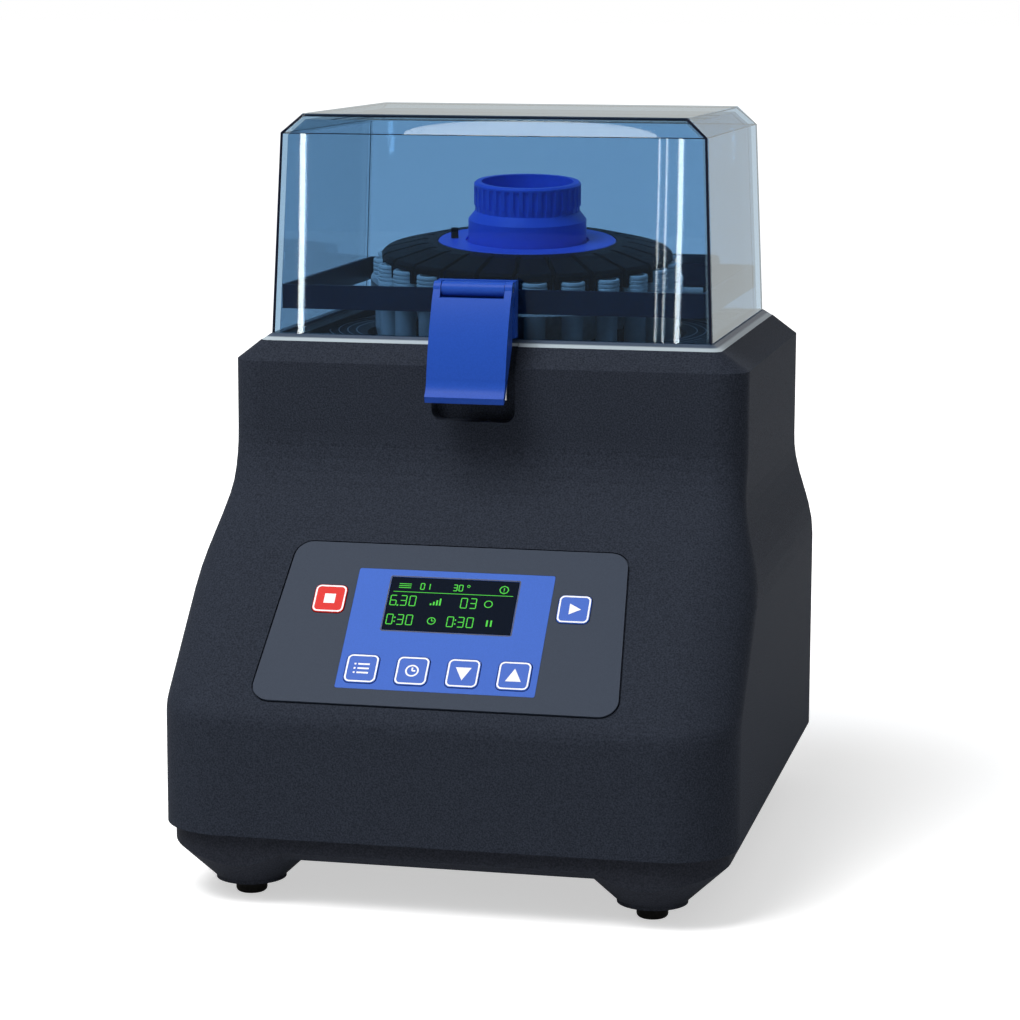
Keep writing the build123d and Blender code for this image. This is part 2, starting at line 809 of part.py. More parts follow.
with BuildPart() as latch_flap:
    with BuildSketch(Plane.YZ.offset(latch_low_x)):
        with BuildLine():
            ThreePointArc(flap_top, flap_mid, flap_low)
            ThreePointArc(flap_low, lip_mid, lip_end)
            Line(lip_end, lip_base)
            Line(lip_base, lip_back)
            Line(lip_back, (flap_low[0] + 5, flange_low_z))
            Line((flap_low[0] + 5, flange_low_z), (flap_back_y, flange_turn_z))
            Line((flap_back_y, flange_turn_z), (flap_back_y, latch_pivot_z - ear_radius))
            Line((flap_back_y, latch_pivot_z - ear_radius), flap_top)
        make_face()
    extrude(amount=latch_width)
    # Hollow back between the two side flanges
    with BuildSketch(Plane.YZ.offset(latch_low_x + flap_wall)):
        with BuildLine():
            ThreePointArc(
                (flap_top[0] + 2 * flap_wall, latch_pivot_z + 2),
                (flap_mid[0] + flap_wall, flap_mid[1] - 1),
                (flap_low[0] + flap_wall, flap_low[1]),
            )
            Line((flap_low[0] + flap_wall, flap_low[1]), (flap_low[0] + 8, flap_low[1] - 8))
            Line((flap_low[0] + 8, flap_low[1] - 8), (flap_back_y + 8, flap_low[1] - 8))
            Line((flap_back_y + 8, flap_low[1] - 8), (flap_back_y + 8, latch_pivot_z + 2))
            Line((flap_back_y + 8, latch_pivot_z + 2), (flap_top[0] + 2 * flap_wall, latch_pivot_z + 2))
        make_face()
    extrude(amount=latch_width - 2 * flap_wall, mode=Mode.SUBTRACT)
    for side in (0, 1):
        with BuildSketch(Plane.YZ.offset(latch_low_x + side * (latch_width - ear_width))):
            with Locations((latch_pivot_y, latch_pivot_z)):
                Circle(ear_radius)
            with Locations((latch_pivot_y - ear_radius / 2, latch_pivot_z - ear_radius)):
                Rectangle(ear_radius, 2 * ear_radius)
        extrude(amount=ear_width)
    # Gap round the barrel, and the pin's hole
    with BuildSketch(Plane.YZ.offset(latch_x - barrel_length / 2 - seat_gap)):
        with Locations((latch_pivot_y, latch_pivot_z + 2 * ear_radius - barrel_radius - seat_gap)):
            Rectangle(6 * ear_radius, 4 * ear_radius)
    extrude(amount=barrel_length + 2 * seat_gap, mode=Mode.SUBTRACT)
    with BuildSketch(Plane.YZ.offset(latch_low_x - 1)):
        with Locations((latch_pivot_y, latch_pivot_z)):
            Circle(latch_pin_radius + running_gap)
    extrude(amount=latch_width + 2, mode=Mode.SUBTRACT)
    # Hook that snaps against the catch
    hook_width = 22.0
    with BuildSketch(Plane.YZ.offset(latch_x - hook_width / 2)):
        with BuildLine():
            Polyline(
                (flap_low[0] + 1, catch_nose_z + 4),
                (catch_nose - seat_gap, catch_nose_z + 1),
                (catch_nose - seat_gap, catch_nose_z - 4),
                (upper_front - 1, catch_nose_z - 6.5),
                (flap_low[0] + 1, catch_nose_z - 4),
                close=True,
            )
        make_face()
    extrude(amount=hook_width)
save(latch_flap.part, "latch_flap")

# Steel catch in the pocket
catch_width = 30.0
catch_thickness = 1.5
catch_back = upper_front + recess_depth
with BuildPart() as latch_catch:
    with BuildSketch(Plane.YZ.offset(latch_x - catch_width / 2)):
        with BuildLine():
            Polyline(
                (catch_back - back_gap, catch_nose_z - 14),
                (catch_back - catch_thickness, catch_nose_z - 14),
                (catch_back - catch_thickness, catch_nose_z - 3),
                (catch_nose, catch_nose_z - 1.5),
                (catch_nose, catch_nose_z + 1.5),
                (catch_back - catch_thickness, catch_nose_z + 4),
                (catch_back - back_gap, catch_nose_z + 4),
                close=True,
            )
        make_face()
    extrude(amount=catch_width)
save(latch_catch.part, "latch_catch")

# Rotor disc with its hub
bearing_low = plate_top - 1 - 2 * bearing_width
hub_low = bearing_low - 1.5
hub_top = plate_top + 7
with BuildPart() as rotor_disc:
    tilted_turned(
        [
            (hub_bearing_outer + running_gap, hub_low),
            (hub_radius, hub_low),
            (hub_radius, plate_top - plate_thickness - 4),
            (hub_radius + 6, plate_top - plate_thickness),
            (plate_radius, plate_top - plate_thickness),
            (plate_radius, plate_top),
            (hub_radius + 6, plate_top),
            (hub_radius + 4, hub_top),
            (25, hub_top),
            (25, plate_top - 0.8),
            (hub_bearing_outer + running_gap, plate_top - 0.8),
        ]
    )
    with BuildSketch(rotor_plane(plate_top + 1)):
        with PolarLocations(tube_circle, tube_count):
            Circle(tube_radius + tube_hole_gap)
    extrude(amount=-plate_thickness - 2, mode=Mode.SUBTRACT)
save(rotor_disc.part, "rotor_disc")

# Sample tubes and their caps
tip_length = 12.0
with BuildPart() as sample_tubes:
    with BuildSketch(rotor_plane(plate_top)):
        with PolarLocations(tube_circle, tube_count):
            Circle(tube_radius)
    extrude(amount=-(tube_length - tip_length))
    with BuildSketch(rotor_plane(plate_top - tube_length + tip_length)):
        with PolarLocations(tube_circle, tube_count):
            Circle(tube_radius)
    extrude(amount=-tip_length, taper=14)
save(sample_tubes.part, "sample_tubes")

cap_top = plate_top + cap_height
with BuildPart() as tube_caps:
    with BuildSketch(rotor_plane(plate_top)):
        with PolarLocations(tube_circle, tube_count):
            Circle(cap_radius)
    extrude(amount=cap_height)
save(tube_caps.part, "tube_caps")

# Post on the hub for the clamp knob, and the index pin
post_flange = 40.5
with BuildPart() as clamp_post:
    tilted_turned(
        [
            (0, hub_top),
            (post_flange, hub_top),
            (post_flange, hub_top + 2.6),
            (post_radius, hub_top + 2.6),
            (post_radius, post_top - 1.5),
            (post_radius - 1.5, post_top),
            (0, post_top),
        ]
    )
save(clamp_post.part, "clamp_post")

disc_low = cap_top + seat_gap
disc_top = disc_low + disc_thickness
ring_top = disc_top + ring_thickness
with BuildPart() as index_pin:
    with BuildSketch(rotor_plane(hub_top + 2.6)):
        with PolarLocations(index_circle, 1, start_angle=index_angle):
            Circle(index_pin_radius)
    extrude(amount=ring_top + 5.2 - hub_top - 2.6)
save(index_pin.part, "index_pin")

# Clamp disc with a finger over each tube
finger_angle = 360 / tube_count / 2
slot_length = 29.0
with BuildPart() as clamp_disc:
    tilted_turned(
        [
            (post_radius + 3, disc_low),
            (disc_radius, disc_low),
            (disc_radius, disc_low + 2.4),
            (disc_radius - 1.5, disc_low + 3.8),
            (ring_radius + 9, ring_top - 0.8),
            (ring_radius + seat_gap, ring_top - 0.2),
            (ring_radius + seat_gap, disc_top),
            (post_radius + 3, disc_top),
        ]
    )
    with BuildSketch(rotor_plane(disc_low + 1)):
        with PolarLocations(tube_circle - 3, tube_count, start_angle=finger_angle):
            Rectangle(2 * (disc_radius - tube_circle + 3), finger_slot + 2 * skirt_wall)
    extrude(amount=-skirt_height - 1)
    with BuildSketch(rotor_plane(ring_top + 1)):
        with PolarLocations(disc_radius - slot_length / 2 + 5, tube_count, start_angle=finger_angle):
            SlotOverall(slot_length, finger_slot)
    extrude(amount=-(ring_top + 2 - disc_low + skirt_height), mode=Mode.SUBTRACT)
    with BuildSketch(rotor_plane(disc_top + 1)):
        with PolarLocations(index_circle, 1, start_angle=index_angle):
            Circle(index_pin_radius + 0.3)
    extrude(amount=-disc_thickness - 2, mode=Mode.SUBTRACT)
save(clamp_disc.part, "clamp_disc")

flange_radius = ring_hole + 1.5
flange_height = 1.4
with BuildPart() as clamp_ring:
    tilted_turned(
        [
            (flange_radius + seat_gap, disc_top),
            (ring_radius, disc_top),
            (ring_radius, ring_top - 0.6),
            (ring_radius - 0.6, ring_top),
            (ring_hole, ring_top),
            (ring_hole, disc_top + flange_height + 2 * seat_gap),
            (flange_radius + seat_gap, disc_top + flange_height + 2 * seat_gap),
        ]
    )
    with BuildSketch(rotor_plane(ring_top + 1)):
        with PolarLocations(index_circle, 1, start_angle=index_angle):
            Circle(index_pin_radius + 0.3)
    extrude(amount=-ring_thickness - 2, mode=Mode.SUBTRACT)
save(clamp_ring.part, "clamp_ring")

# Knob: an open cup with a fluted grip over a plain collar
knob_low = disc_top + seat_gap
knob_top = knob_low + knob_height
cup_floor = knob_low + 13
insert_radius = 14.0
flute_radius = 1.5
with BuildPart() as clamp_knob:
    tilted_turned(
        [
            (insert_radius, knob_low),
            (flange_radius, knob_low),
            (flange_radius, knob_low + flange_height),
            (knob_collar, knob_low + flange_height),
            (knob_collar, knob_low + 13.6),
            (knob_radius - 0.6, knob_low + 18),
            (knob_radius - 0.6, knob_top - knob_grip),
            (knob_radius, knob_top - knob_grip),
            (knob_radius, knob_top - 1),
            (knob_radius - 1, knob_top),
            (knob_bore, knob_top),
            (knob_bore, cup_floor),
            (insert_radius, cup_floor),
        ]
    )
    with BuildSketch(rotor_plane(knob_top - 2)):
        with PolarLocations(knob_radius + 0.4, knob_flutes):
            Circle(flute_radius)
    extrude(amount=-knob_grip - 1, mode=Mode.SUBTRACT)
save(clamp_knob.part, "clamp_knob")

with BuildPart() as knob_insert:
    tilted_turned(
        [
            (post_radius + running_gap, knob_low),
            (insert_radius, knob_low),
            (insert_radius, cup_floor),
            (post_radius + 4, cup_floor + 1.5),
            (post_radius + running_gap, cup_floor + 1.5),
        ]
    )
save(knob_insert.part, "knob_insert")

# Leaning hub on the drive shaft, and the rotor's two bearings
hub_flange_z = well_floor_z + 12
hub_flange_radius = 30.0
hub_flange_height = 7.0
journal_top = plate_top + 3.5
shaft_top = pivot_z - 13
with BuildPart() as tilted_hub:
    with BuildSketch(rotor_plane(journal_top)):
        Circle(journal_radius)
    extrude(amount=-(journal_top - hub_flange_z - 4))
    with BuildSketch(axis_plane(hub_flange_z)):
        Circle(hub_flange_radius)
    extrude(amount=hub_flange_height)
    with BuildSketch(axis_plane(hub_flange_z - 5)):
        Circle(shaft_radius + running_gap)
    extrude(amount=shaft_top + seat_gap - hub_flange_z + 5, mode=Mode.SUBTRACT)
save(tilted_hub.part, "tilted_hub")

with BuildPart() as rotor_bearings:
    for low in (bearing_low, bearing_low + bearing_width + 0.1):
        tilted_turned(
            [
                (journal_radius + running_gap, low),
                (journal_radius + 4, low),
                (journal_radius + 5, low + 1),
                (hub_bearing_outer - 5, low + 1),
                (hub_bearing_outer - 4, low),
                (hub_bearing_outer, low),
                (hub_bearing_outer, low + bearing_width - 0.1),
                (hub_bearing_outer - 4, low + bearing_width - 0.1),
                (hub_bearing_outer - 5, low + bearing_width - 1.1),
                (journal_radius + 5, low + bearing_width - 1.1),
                (journal_radius + 4, low + bearing_width - 0.1),
                (journal_radius + running_gap, low + bearing_width - 0.1),
            ]
        )
save(rotor_bearings.part, "rotor_bearings")

with BuildPart() as journal_nut:
    tilted_turned(
        [
            (journal_radius + running_gap, plate_top - 0.4),
            (journal_radius + 4.5, plate_top - 0.4),
            (journal_radius + 4.5, journal_top),
            (journal_radius + running_gap, journal_top),
        ]
    )
save(journal_nut.part, "journal_nut")

with BuildPart() as counterweight:
    with BuildSketch(axis_plane(hub_flange_z - seat_gap / 6)):
        Circle(hub_flange_radius)
        Circle(shaft_radius + 3, mode=Mode.SUBTRACT)
        with Locations((0, -hub_flange_radius)):
            Rectangle(2 * hub_flange_radius, 2 * hub_flange_radius, mode=Mode.SUBTRACT)
    extrude(amount=-4.5)
save(counterweight.part, "counterweight")

# Drive shaft, coupling and motor
plate_high_z = motor_plate_z + motor_plate_thickness
shaft_low_z = plate_high_z + 15
motor_shaft_radius = 7.0
motor_shaft_top = shaft_low_z - 1
with BuildPart() as drive_shaft:
    with BuildSketch(axis_plane(shaft_low_z)):
        Circle(shaft_radius)
    extrude(amount=shaft_top - shaft_low_z)
    chamfer(drive_shaft.edges().sort_by(Axis.Z)[-1], 0.8)
save(drive_shaft.part, "drive_shaft")

with BuildPart() as motor_shaft:
    with BuildSketch(axis_plane(motor_plate_z - 14)):
        Circle(motor_shaft_radius)
    extrude(amount=motor_shaft_top - motor_plate_z + 14)
save(motor_shaft.part, "motor_shaft")

coupling_half = 12.0
with BuildPart() as shaft_coupling:
    middle = (shaft_low_z + motor_shaft_top) / 2
    upright_turned(
        [
            (motor_shaft_radius + running_gap, middle - coupling_half),
            (18, middle - coupling_half),
            (18, middle - 1),
            (16, middle),
            (18, middle + 1),
            (18, middle + coupling_half),
            (shaft_radius + running_gap, middle + coupling_half),
            (shaft_radius + running_gap, middle),
            (motor_shaft_radius + running_gap, middle),
        ]
    )
save(shaft_coupling.part, "shaft_coupling")

fin_count = 24
with BuildPart() as motor:
    upright_turned(
        [
            (0, motor_low_z),
            (motor_radius - 4, motor_low_z),
            (motor_radius, motor_low_z + 4),
            (motor_radius, motor_plate_z - 4),
            (motor_radius - 2, motor_plate_z - back_gap),
            (motor_shaft_radius + 1, motor_plate_z - back_gap),
            (motor_shaft_radius + 1, motor_plate_z - 15),
            (0, motor_plate_z - 15),
        ]
    )
    with BuildSketch(axis_plane(motor_low_z + 10)):
        with PolarLocations(motor_radius, fin_count):
            Rectangle(5, 4)
    extrude(amount=motor_plate_z - motor_low_z - 24, mode=Mode.SUBTRACT)
save(motor.part, "motor")

with BuildPart() as motor_plate:
    with BuildSketch(Plane.XY.offset(motor_plate_z)):
        with Locations((0, axis_y)):
            RectangleRounded(post_spread_x + 30, post_spread_y + 30, 12)
            Circle(motor_shaft_radius + 6, mode=Mode.SUBTRACT)
    extrude(amount=motor_plate_thickness)
save(motor_plate.part, "motor_plate")

housing_bearing_top = well_floor_z
upper_bearing_low = housing_bearing_top - 1 - shaft_bearing_width
lower_bearing_low = housing_bearing_top - 46
with BuildPart() as bearing_housing:
    upright_turned(
        [
            (22, plate_high_z + back_gap),
            (56, plate_high_z + back_gap),
            (56, plate_high_z + 8),
            (37, plate_high_z + 12),
            (33, well_floor_z - 8),
            (26, well_floor_z - 6),
            (26, housing_bearing_top + 3),
            (shaft_radius + 4, housing_bearing_top + 3),
            (shaft_radius + 4, housing_bearing_top - 0.9),
            (shaft_bearing_outer + running_gap, housing_bearing_top - 0.9),
            (shaft_bearing_outer + running_gap, upper_bearing_low - 0.2),
            (shaft_radius + 6, upper_bearing_low - 0.2),
            (shaft_radius + 6, lower_bearing_low + shaft_bearing_width + 0.2),
            (shaft_bearing_outer + running_gap, lower_bearing_low + shaft_bearing_width + 0.2),
            (shaft_bearing_outer + running_gap, lower_bearing_low - 2),
            (22, lower_bearing_low - 2),
        ]
    )
save(bearing_housing.part, "bearing_housing")

with BuildPart() as shaft_bearings:
    for low in (upper_bearing_low, lower_bearing_low):
        inner = shaft_radius + running_gap
        high = low + shaft_bearing_width
        upright_turned(
            [
                (inner, low),
                (shaft_radius + 3, low),
                (shaft_radius + 4, low + 1),
                (shaft_bearing_outer - 4, low + 1),
                (shaft_bearing_outer - 3, low),
                (shaft_bearing_outer, low),
                (shaft_bearing_outer, high),
                (shaft_bearing_outer - 3, high),
                (shaft_bearing_outer - 4, high - 1),
                (shaft_radius + 4, high - 1),
                (shaft_radius + 3, high),
                (inner, high),
            ]
        )
save(shaft_bearings.part, "shaft_bearings")

# Posts and rubber mounts that carry the motor plate
post_places = [
    (x, axis_y + y) for x in (-post_spread_x / 2, post_spread_x / 2) for y in (-post_spread_y / 2, post_spread_y / 2)
]
post_low_z = pan_floor_z + pan_wall + back_gap
post_high_z = motor_plate_z - damper_height
with BuildPart() as frame_posts:
    with BuildSketch(Plane.XY.offset(post_low_z)):
        with Locations(*post_places):
            RegularPolygon(9, 6)
    extrude(amount=post_high_z - post_low_z)
save(frame_posts.part, "frame_posts")

with BuildPart() as damper_mounts:
    for x, y in post_places:
        with BuildSketch(Plane.XZ.offset(-y)):
            with BuildLine():
                Polyline(
                    (x, post_high_z + back_gap),
                    (x + 12, post_high_z + back_gap),
                    (x + 10, (post_high_z + motor_plate_z) / 2),
                    (x + 12, motor_plate_z - back_gap),
                    (x, motor_plate_z - back_gap),
                    close=True,
                )
            make_face()
        revolve(axis=Axis((x, y, 0), (0, 0, 1)))
save(damper_mounts.part, "damper_mounts")

# Rear panel with the mains inlet, the switch and the fan
rear_face = back_y - wall - back_gap
rear_margin = 7.0
slot_width = 4.0
flange_thickness = 2.0
inlet_width = 27.0
inlet_height = 20.0
inlet_depth = 20.0
rocker_width = 13.0
rocker_height = 19.0
with BuildPart() as rear_panel:
    with BuildSketch(Plane.XZ.offset(-rear_face)):
        with Locations((0, rear_panel_z)):
            RectangleRounded(rear_opening_width + 2 * rear_margin, rear_opening_height + 2 * rear_margin, 4)
        with Locations((inlet_x, inlet_z)):
            RectangleRounded(inlet_width + 0.4, inlet_height + 0.4, 2, mode=Mode.SUBTRACT)
        with Locations((rocker_x, inlet_z)):
            Rectangle(rocker_width + 2.4, rocker_height + 2.4, mode=Mode.SUBTRACT)
        with Locations((fan_x, rear_panel_z)):
            with GridLocations(0, 7.5, 1, 7):
                SlotOverall(52, slot_width, mode=Mode.SUBTRACT)
    extrude(amount=rear_panel_thickness)
save(rear_panel.part, "rear_panel")

with BuildPart() as power_inlet:
    with BuildSketch(Plane.XZ.offset(-rear_face - flange_thickness)):
        with Locations((inlet_x, inlet_z)):
            RectangleRounded(inlet_width + 8, inlet_height + 8, 3)
    extrude(amount=flange_thickness)
    with BuildSketch(Plane.XZ.offset(-rear_face - flange_thickness)):
        with Locations((inlet_x, inlet_z)):
            RectangleRounded(inlet_width, inlet_height, 2)
    extrude(amount=flange_thickness + inlet_depth)
    with BuildSketch(Plane.XZ.offset(-rear_face - flange_thickness)):
        with Locations((inlet_x, inlet_z)):
            Rectangle(inlet_width - 3, inlet_height - 3)
        chamfer(vertices().sort_by(Axis.Z)[:2], 3)
    extrude(amount=inlet_depth - 1, mode=Mode.SUBTRACT)
save(power_inlet.part, "power_inlet")

inlet_pin_length = 13.0
inlet_pin_places = [(-7, -2), (0, 2), (7, -2)]
with BuildPart() as inlet_pins:
    for dx, dz in inlet_pin_places:
        with BuildSketch(Plane.XZ.offset(-rear_face + inlet_depth - 3)):
            with Locations((inlet_x + dx, inlet_z + dz)):
                Rectangle(2, 4)
        extrude(amount=-inlet_pin_length)
save(inlet_pins.part, "inlet_pins")

with BuildPart() as rocker_frame:
    with BuildSketch(Plane.XZ.offset(-rear_face - flange_thickness)):
        with Locations((rocker_x, inlet_z)):
            RectangleRounded(rocker_width + 6, rocker_height + 6, 2)
    extrude(amount=flange_thickness)
    with BuildSketch(Plane.XZ.offset(-rear_face)):
        with Locations((rocker_x, inlet_z)):
            Rectangle(rocker_width + 2, rocker_height + 2)
    extrude(amount=18)
    with BuildSketch(Plane.XZ.offset(-rear_face - flange_thickness)):
        with Locations((rocker_x, inlet_z)):
            Rectangle(rocker_width + 2 * seat_gap, rocker_height + 2 * seat_gap)
    extrude(amount=14, mode=Mode.SUBTRACT)
save(rocker_frame.part, "rocker_frame")

rocker_pivot_y = rear_face - 5
rocker_lean = 7.0
with BuildPart() as power_rocker:
    with BuildSketch(Plane.YZ.offset(rocker_x - rocker_width / 2)):
        with BuildLine():
            Polyline(
                (rocker_pivot_y + 5.5, inlet_z - 8.2),
                (rocker_pivot_y + 4.5, inlet_z),
                (rocker_pivot_y + 5.5, inlet_z + 8.2),
                (rocker_pivot_y, inlet_z + 7.5),
                (rocker_pivot_y - 5, inlet_z),
                (rocker_pivot_y, inlet_z - 7.5),
                close=True,
            )
        make_face()
    extrude(amount=rocker_width)
    resting = power_rocker.part.rotate(Axis((rocker_x, rocker_pivot_y, inlet_z), (1, 0, 0)), rocker_lean)
save(resting, "power_rocker")

fan_face = rear_face - rear_panel_thickness - back_gap
fan_bore = 28.0
fan_hub = 13.0
spindle_radius = 2.0
with BuildPart() as fan_frame:
    with BuildSketch(Plane.XZ.offset(-fan_face)):
        with Locations((fan_x, rear_panel_z)):
            RectangleRounded(fan_size, fan_size, 4)
            Circle(fan_bore, mode=Mode.SUBTRACT)
    extrude(amount=fan_depth)
    with BuildSketch(Plane.XZ.offset(-fan_face + fan_depth - 2)):
        with Locations((fan_x, rear_panel_z)):
            Circle(fan_hub)
            with PolarLocations(20, 4, start_angle=45):
                Rectangle(20, 3)
    extrude(amount=2)
    with BuildSketch(Plane.XZ.offset(-fan_face + fan_depth - 2)):
        with Locations((fan_x, rear_panel_z)):
            Circle(spindle_radius)
    extrude(amount=-(fan_depth - 5))
save(fan_frame.part, "fan_frame")

with BuildPart() as fan_rotor:
    with BuildSketch(Plane.XZ.offset(-fan_face + 1.5)):
        with Locations((fan_x, rear_panel_z)):
            Circle(fan_hub)
            with PolarLocations(19.5, 7):
                Rectangle(15, 2.2, rotation=24)
            Circle(spindle_radius + running_gap, mode=Mode.SUBTRACT)
    extrude(amount=fan_depth - 4.5)
save(fan_rotor.part, "fan_rotor")

supply_x = -20.0
supply_y = front_y + 56
supply_size = (150.0, 70.0, 38.0)
with BuildPart() as power_supply:
    with BuildSketch(Plane.XY.offset(post_low_z)):
        with Locations((supply_x, supply_y)):
            RectangleRounded(supply_size[0], supply_size[1], 2)
    extrude(amount=supply_size[2])
save(power_supply.part, "power_supply")
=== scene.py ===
import json
from math import cos, pi, radians, sin

import bpy
from mathutils import Matrix, Vector


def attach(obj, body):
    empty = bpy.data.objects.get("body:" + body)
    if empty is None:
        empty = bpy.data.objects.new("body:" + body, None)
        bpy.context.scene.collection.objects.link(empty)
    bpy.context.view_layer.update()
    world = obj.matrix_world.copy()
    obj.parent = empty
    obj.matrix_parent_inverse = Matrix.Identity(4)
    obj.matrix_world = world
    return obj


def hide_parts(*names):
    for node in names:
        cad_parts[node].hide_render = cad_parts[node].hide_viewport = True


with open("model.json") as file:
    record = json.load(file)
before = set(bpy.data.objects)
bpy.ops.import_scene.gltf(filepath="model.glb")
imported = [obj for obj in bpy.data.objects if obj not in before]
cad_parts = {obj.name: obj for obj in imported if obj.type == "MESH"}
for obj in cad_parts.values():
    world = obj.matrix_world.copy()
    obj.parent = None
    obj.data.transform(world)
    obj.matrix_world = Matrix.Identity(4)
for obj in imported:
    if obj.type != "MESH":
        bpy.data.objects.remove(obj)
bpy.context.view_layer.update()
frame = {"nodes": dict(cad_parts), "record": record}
nodes = frame["nodes"]

MM = 0.001

# The slope, from the lower edge of the control panel's face, as in the CAD
SLOPE_START = Vector((0, -166.0, 94.2)) * MM
UP_SLOPE = Vector((0, cos(radians(45)), sin(radians(45))))
OUT_OF_SLOPE = Vector((0, -sin(radians(45)), cos(radians(45))))
PANEL_X = -3.0
FIELD_FACE = 0.5
KEY_FACE = 1.0
INK_LIFT = 0.04
KEY_ROW = 29.7
SIDE_KEY_ROW = 68.7
KEY_PLACES = {
    "stop_key": (-60.1, SIDE_KEY_ROW),
    "run_key": (60.1, SIDE_KEY_ROW),
    "program_key": (-36.975, KEY_ROW),
    "set_key": (-12.325, KEY_ROW),
    "down_key": (12.325, KEY_ROW),
    "up_key": (36.975, KEY_ROW),
}

# The rotor leans towards the front right
TILT = radians(5.0)
TILT_HEADING = radians(12.3)
ROTOR_AXIS = Vector((sin(TILT_HEADING) * sin(TILT), -cos(TILT_HEADING) * sin(TILT), cos(TILT)))
ROTOR_X = Vector((cos(TILT), 0, -ROTOR_AXIS.x)).normalized()
ROTOR_Y = ROTOR_AXIS.cross(ROTOR_X)
AXIS_Y = 40.0
PIVOT_HEIGHT = 275.0
ROTOR_PIVOT = Vector((0, AXIS_Y, PIVOT_HEIGHT)) * MM
PLATE_TOP = 287.0
TUBE_CIRCLE = 73.4
TUBE_COUNT = 24
CAP_RADIUS = 6.4
CAP_HEIGHT = 10.0
CAP_GROOVES = 4
GROOVE_DEPTH = 0.35
CAP_CLEAR = 0.05


# Shader nodes
def link(tree, source, target):
    tree.links.new(source, target)


def new_node(tree, kind, inputs=None):
    """A new node with the values of its named inputs."""
    node = tree.nodes.new(kind)
    for name, value in (inputs or {}).items():
        node.inputs[name].default_value = value
    return node


def maths(tree, operation, first, second):
    """The result of a maths node. Each value is a socket or a number."""
    node = tree.nodes.new("ShaderNodeMath")
    node.operation = operation
    for socket, value in zip(node.inputs, (first, second)):
        if isinstance(value, (int, float)):
            socket.default_value = value
        else:
            link(tree, value, socket)
    return node.outputs[0]


def map_range(tree, value, source, target):
    """The value carried from the source range to the target range, and held at its ends."""
    node = new_node(tree, "ShaderNodeMapRange", {
        "From Min": source[0], "From Max": source[1], "To Min": target[0], "To Max": target[1]})
    link(tree, value, node.inputs["Value"])
    return node.outputs["Result"]


def mix(tree, share, first, second):
    """The mix of two shaders. The share of the second is a socket or a number."""
    node = tree.nodes.new("ShaderNodeMixShader")
    if isinstance(share, float):
        node.inputs["Fac"].default_value = share
    else:
        link(tree, share, node.inputs["Fac"])
    link(tree, first, node.inputs[1])
    link(tree, second, node.inputs[2])
    return node.outputs["Shader"]


def ramp_between(tree, value, start, start_colour, end, end_colour):
    """A colour that runs from one to another between two values."""
    ramp = tree.nodes.new("ShaderNodeValToRGB")
    low, high = ramp.color_ramp.elements
    low.position, high.position = start, end
    low.color = start_colour + [1]
    high.color = end_colour + [1]
    link(tree, value, ramp.inputs["Fac"])
    return ramp.outputs["Color"]


# Materials
GRAIN_LOW, GRAIN_HIGH = 0.35, 0.65
COAT_ROUGHNESS = 0.15
CLEAR_LIFT = 1.15


def new_material(name):
    material = bpy.data.materials.new(name)
    material.use_nodes = True
    tree = material.node_tree
    tree.nodes.clear()
    return material, tree, tree.nodes.new("ShaderNodeOutputMaterial")


def grain_relief(tree, scale, strength, distance, detail=3.0):
    """A fine noise and the bump that it makes."""
    coords = tree.nodes.new("ShaderNodeTexCoord")
    noise = new_node(tree, "ShaderNodeTexNoise", {"Scale": scale, "Detail": detail})
    link(tree, coords.outputs["Object"], noise.inputs["Vector"])
    bump = new_node(tree, "ShaderNodeBump", {"Strength": strength, "Distance": distance})
    link(tree, noise.outputs["Fac"], bump.inputs["Height"])
    return noise.outputs["Fac"], bump.outputs["Normal"]


def solid(name, colour, rough=0.5, metal=0.0, spread=0.12, grain=900.0, bump=0.15, depth=0.0002, coat=0.0, clear=0.0,
          shine=0.5):
    """An opaque or frosted finish whose colour and height vary a little with a fine grain."""
    material, tree, output = new_material(name)
    shader = new_node(tree, "ShaderNodeBsdfPrincipled", {
        "Roughness": rough, "Metallic": metal, "Specular IOR Level": shine, "Coat Weight": coat,
        "Coat Roughness": COAT_ROUGHNESS})
    noise, relief = grain_relief(tree, grain, bump, depth)
    darker = [c * (1 - spread) for c in colour]
    lighter = [min(c * (1 + spread), 1.0) for c in colour]
    link(tree, ramp_between(tree, noise, GRAIN_LOW, darker, GRAIN_HIGH, lighter), shader.inputs["Base Color"])
    link(tree, relief, shader.inputs["Normal"])
    surface = shader.outputs["BSDF"]
    if clear:
        see_through = new_node(tree, "ShaderNodeBsdfTransparent", {
            "Color": [min(c * CLEAR_LIFT, 1.0) for c in colour] + [1]})
        surface = mix(tree, clear, surface, see_through.outputs["BSDF"])
    link(tree, surface, output.inputs["Surface"])
    return material


def glowing(name, colour, strength):
    material, tree, output = new_material(name)
    glow = new_node(tree, "ShaderNodeEmission", {"Color": colour + [1], "Strength": strength})
    link(tree, glow.outputs["Emission"], output.inputs["Surface"])
    return material


# The lid's plastic: the tint of each surface that light passes, the colour and share of its haze, and its mirroring
# seen straight on, with the power by which that rises to 1 towards grazing
LID_TINT = [0.580, 0.712, 0.822]
LID_BODY = [0.10, 0.25, 0.48]
LID_HAZE = 0.012
LID_MIRROR = 0.04
LID_GLOSS = [0.50, 0.52, 0.51]
LID_GRAZE = 4.6
LID_ROUGHNESS = 0.012
LID_WAVES = {"scale": 14.0, "strength": 0.02, "distance": 0.001, "detail": 0.0}


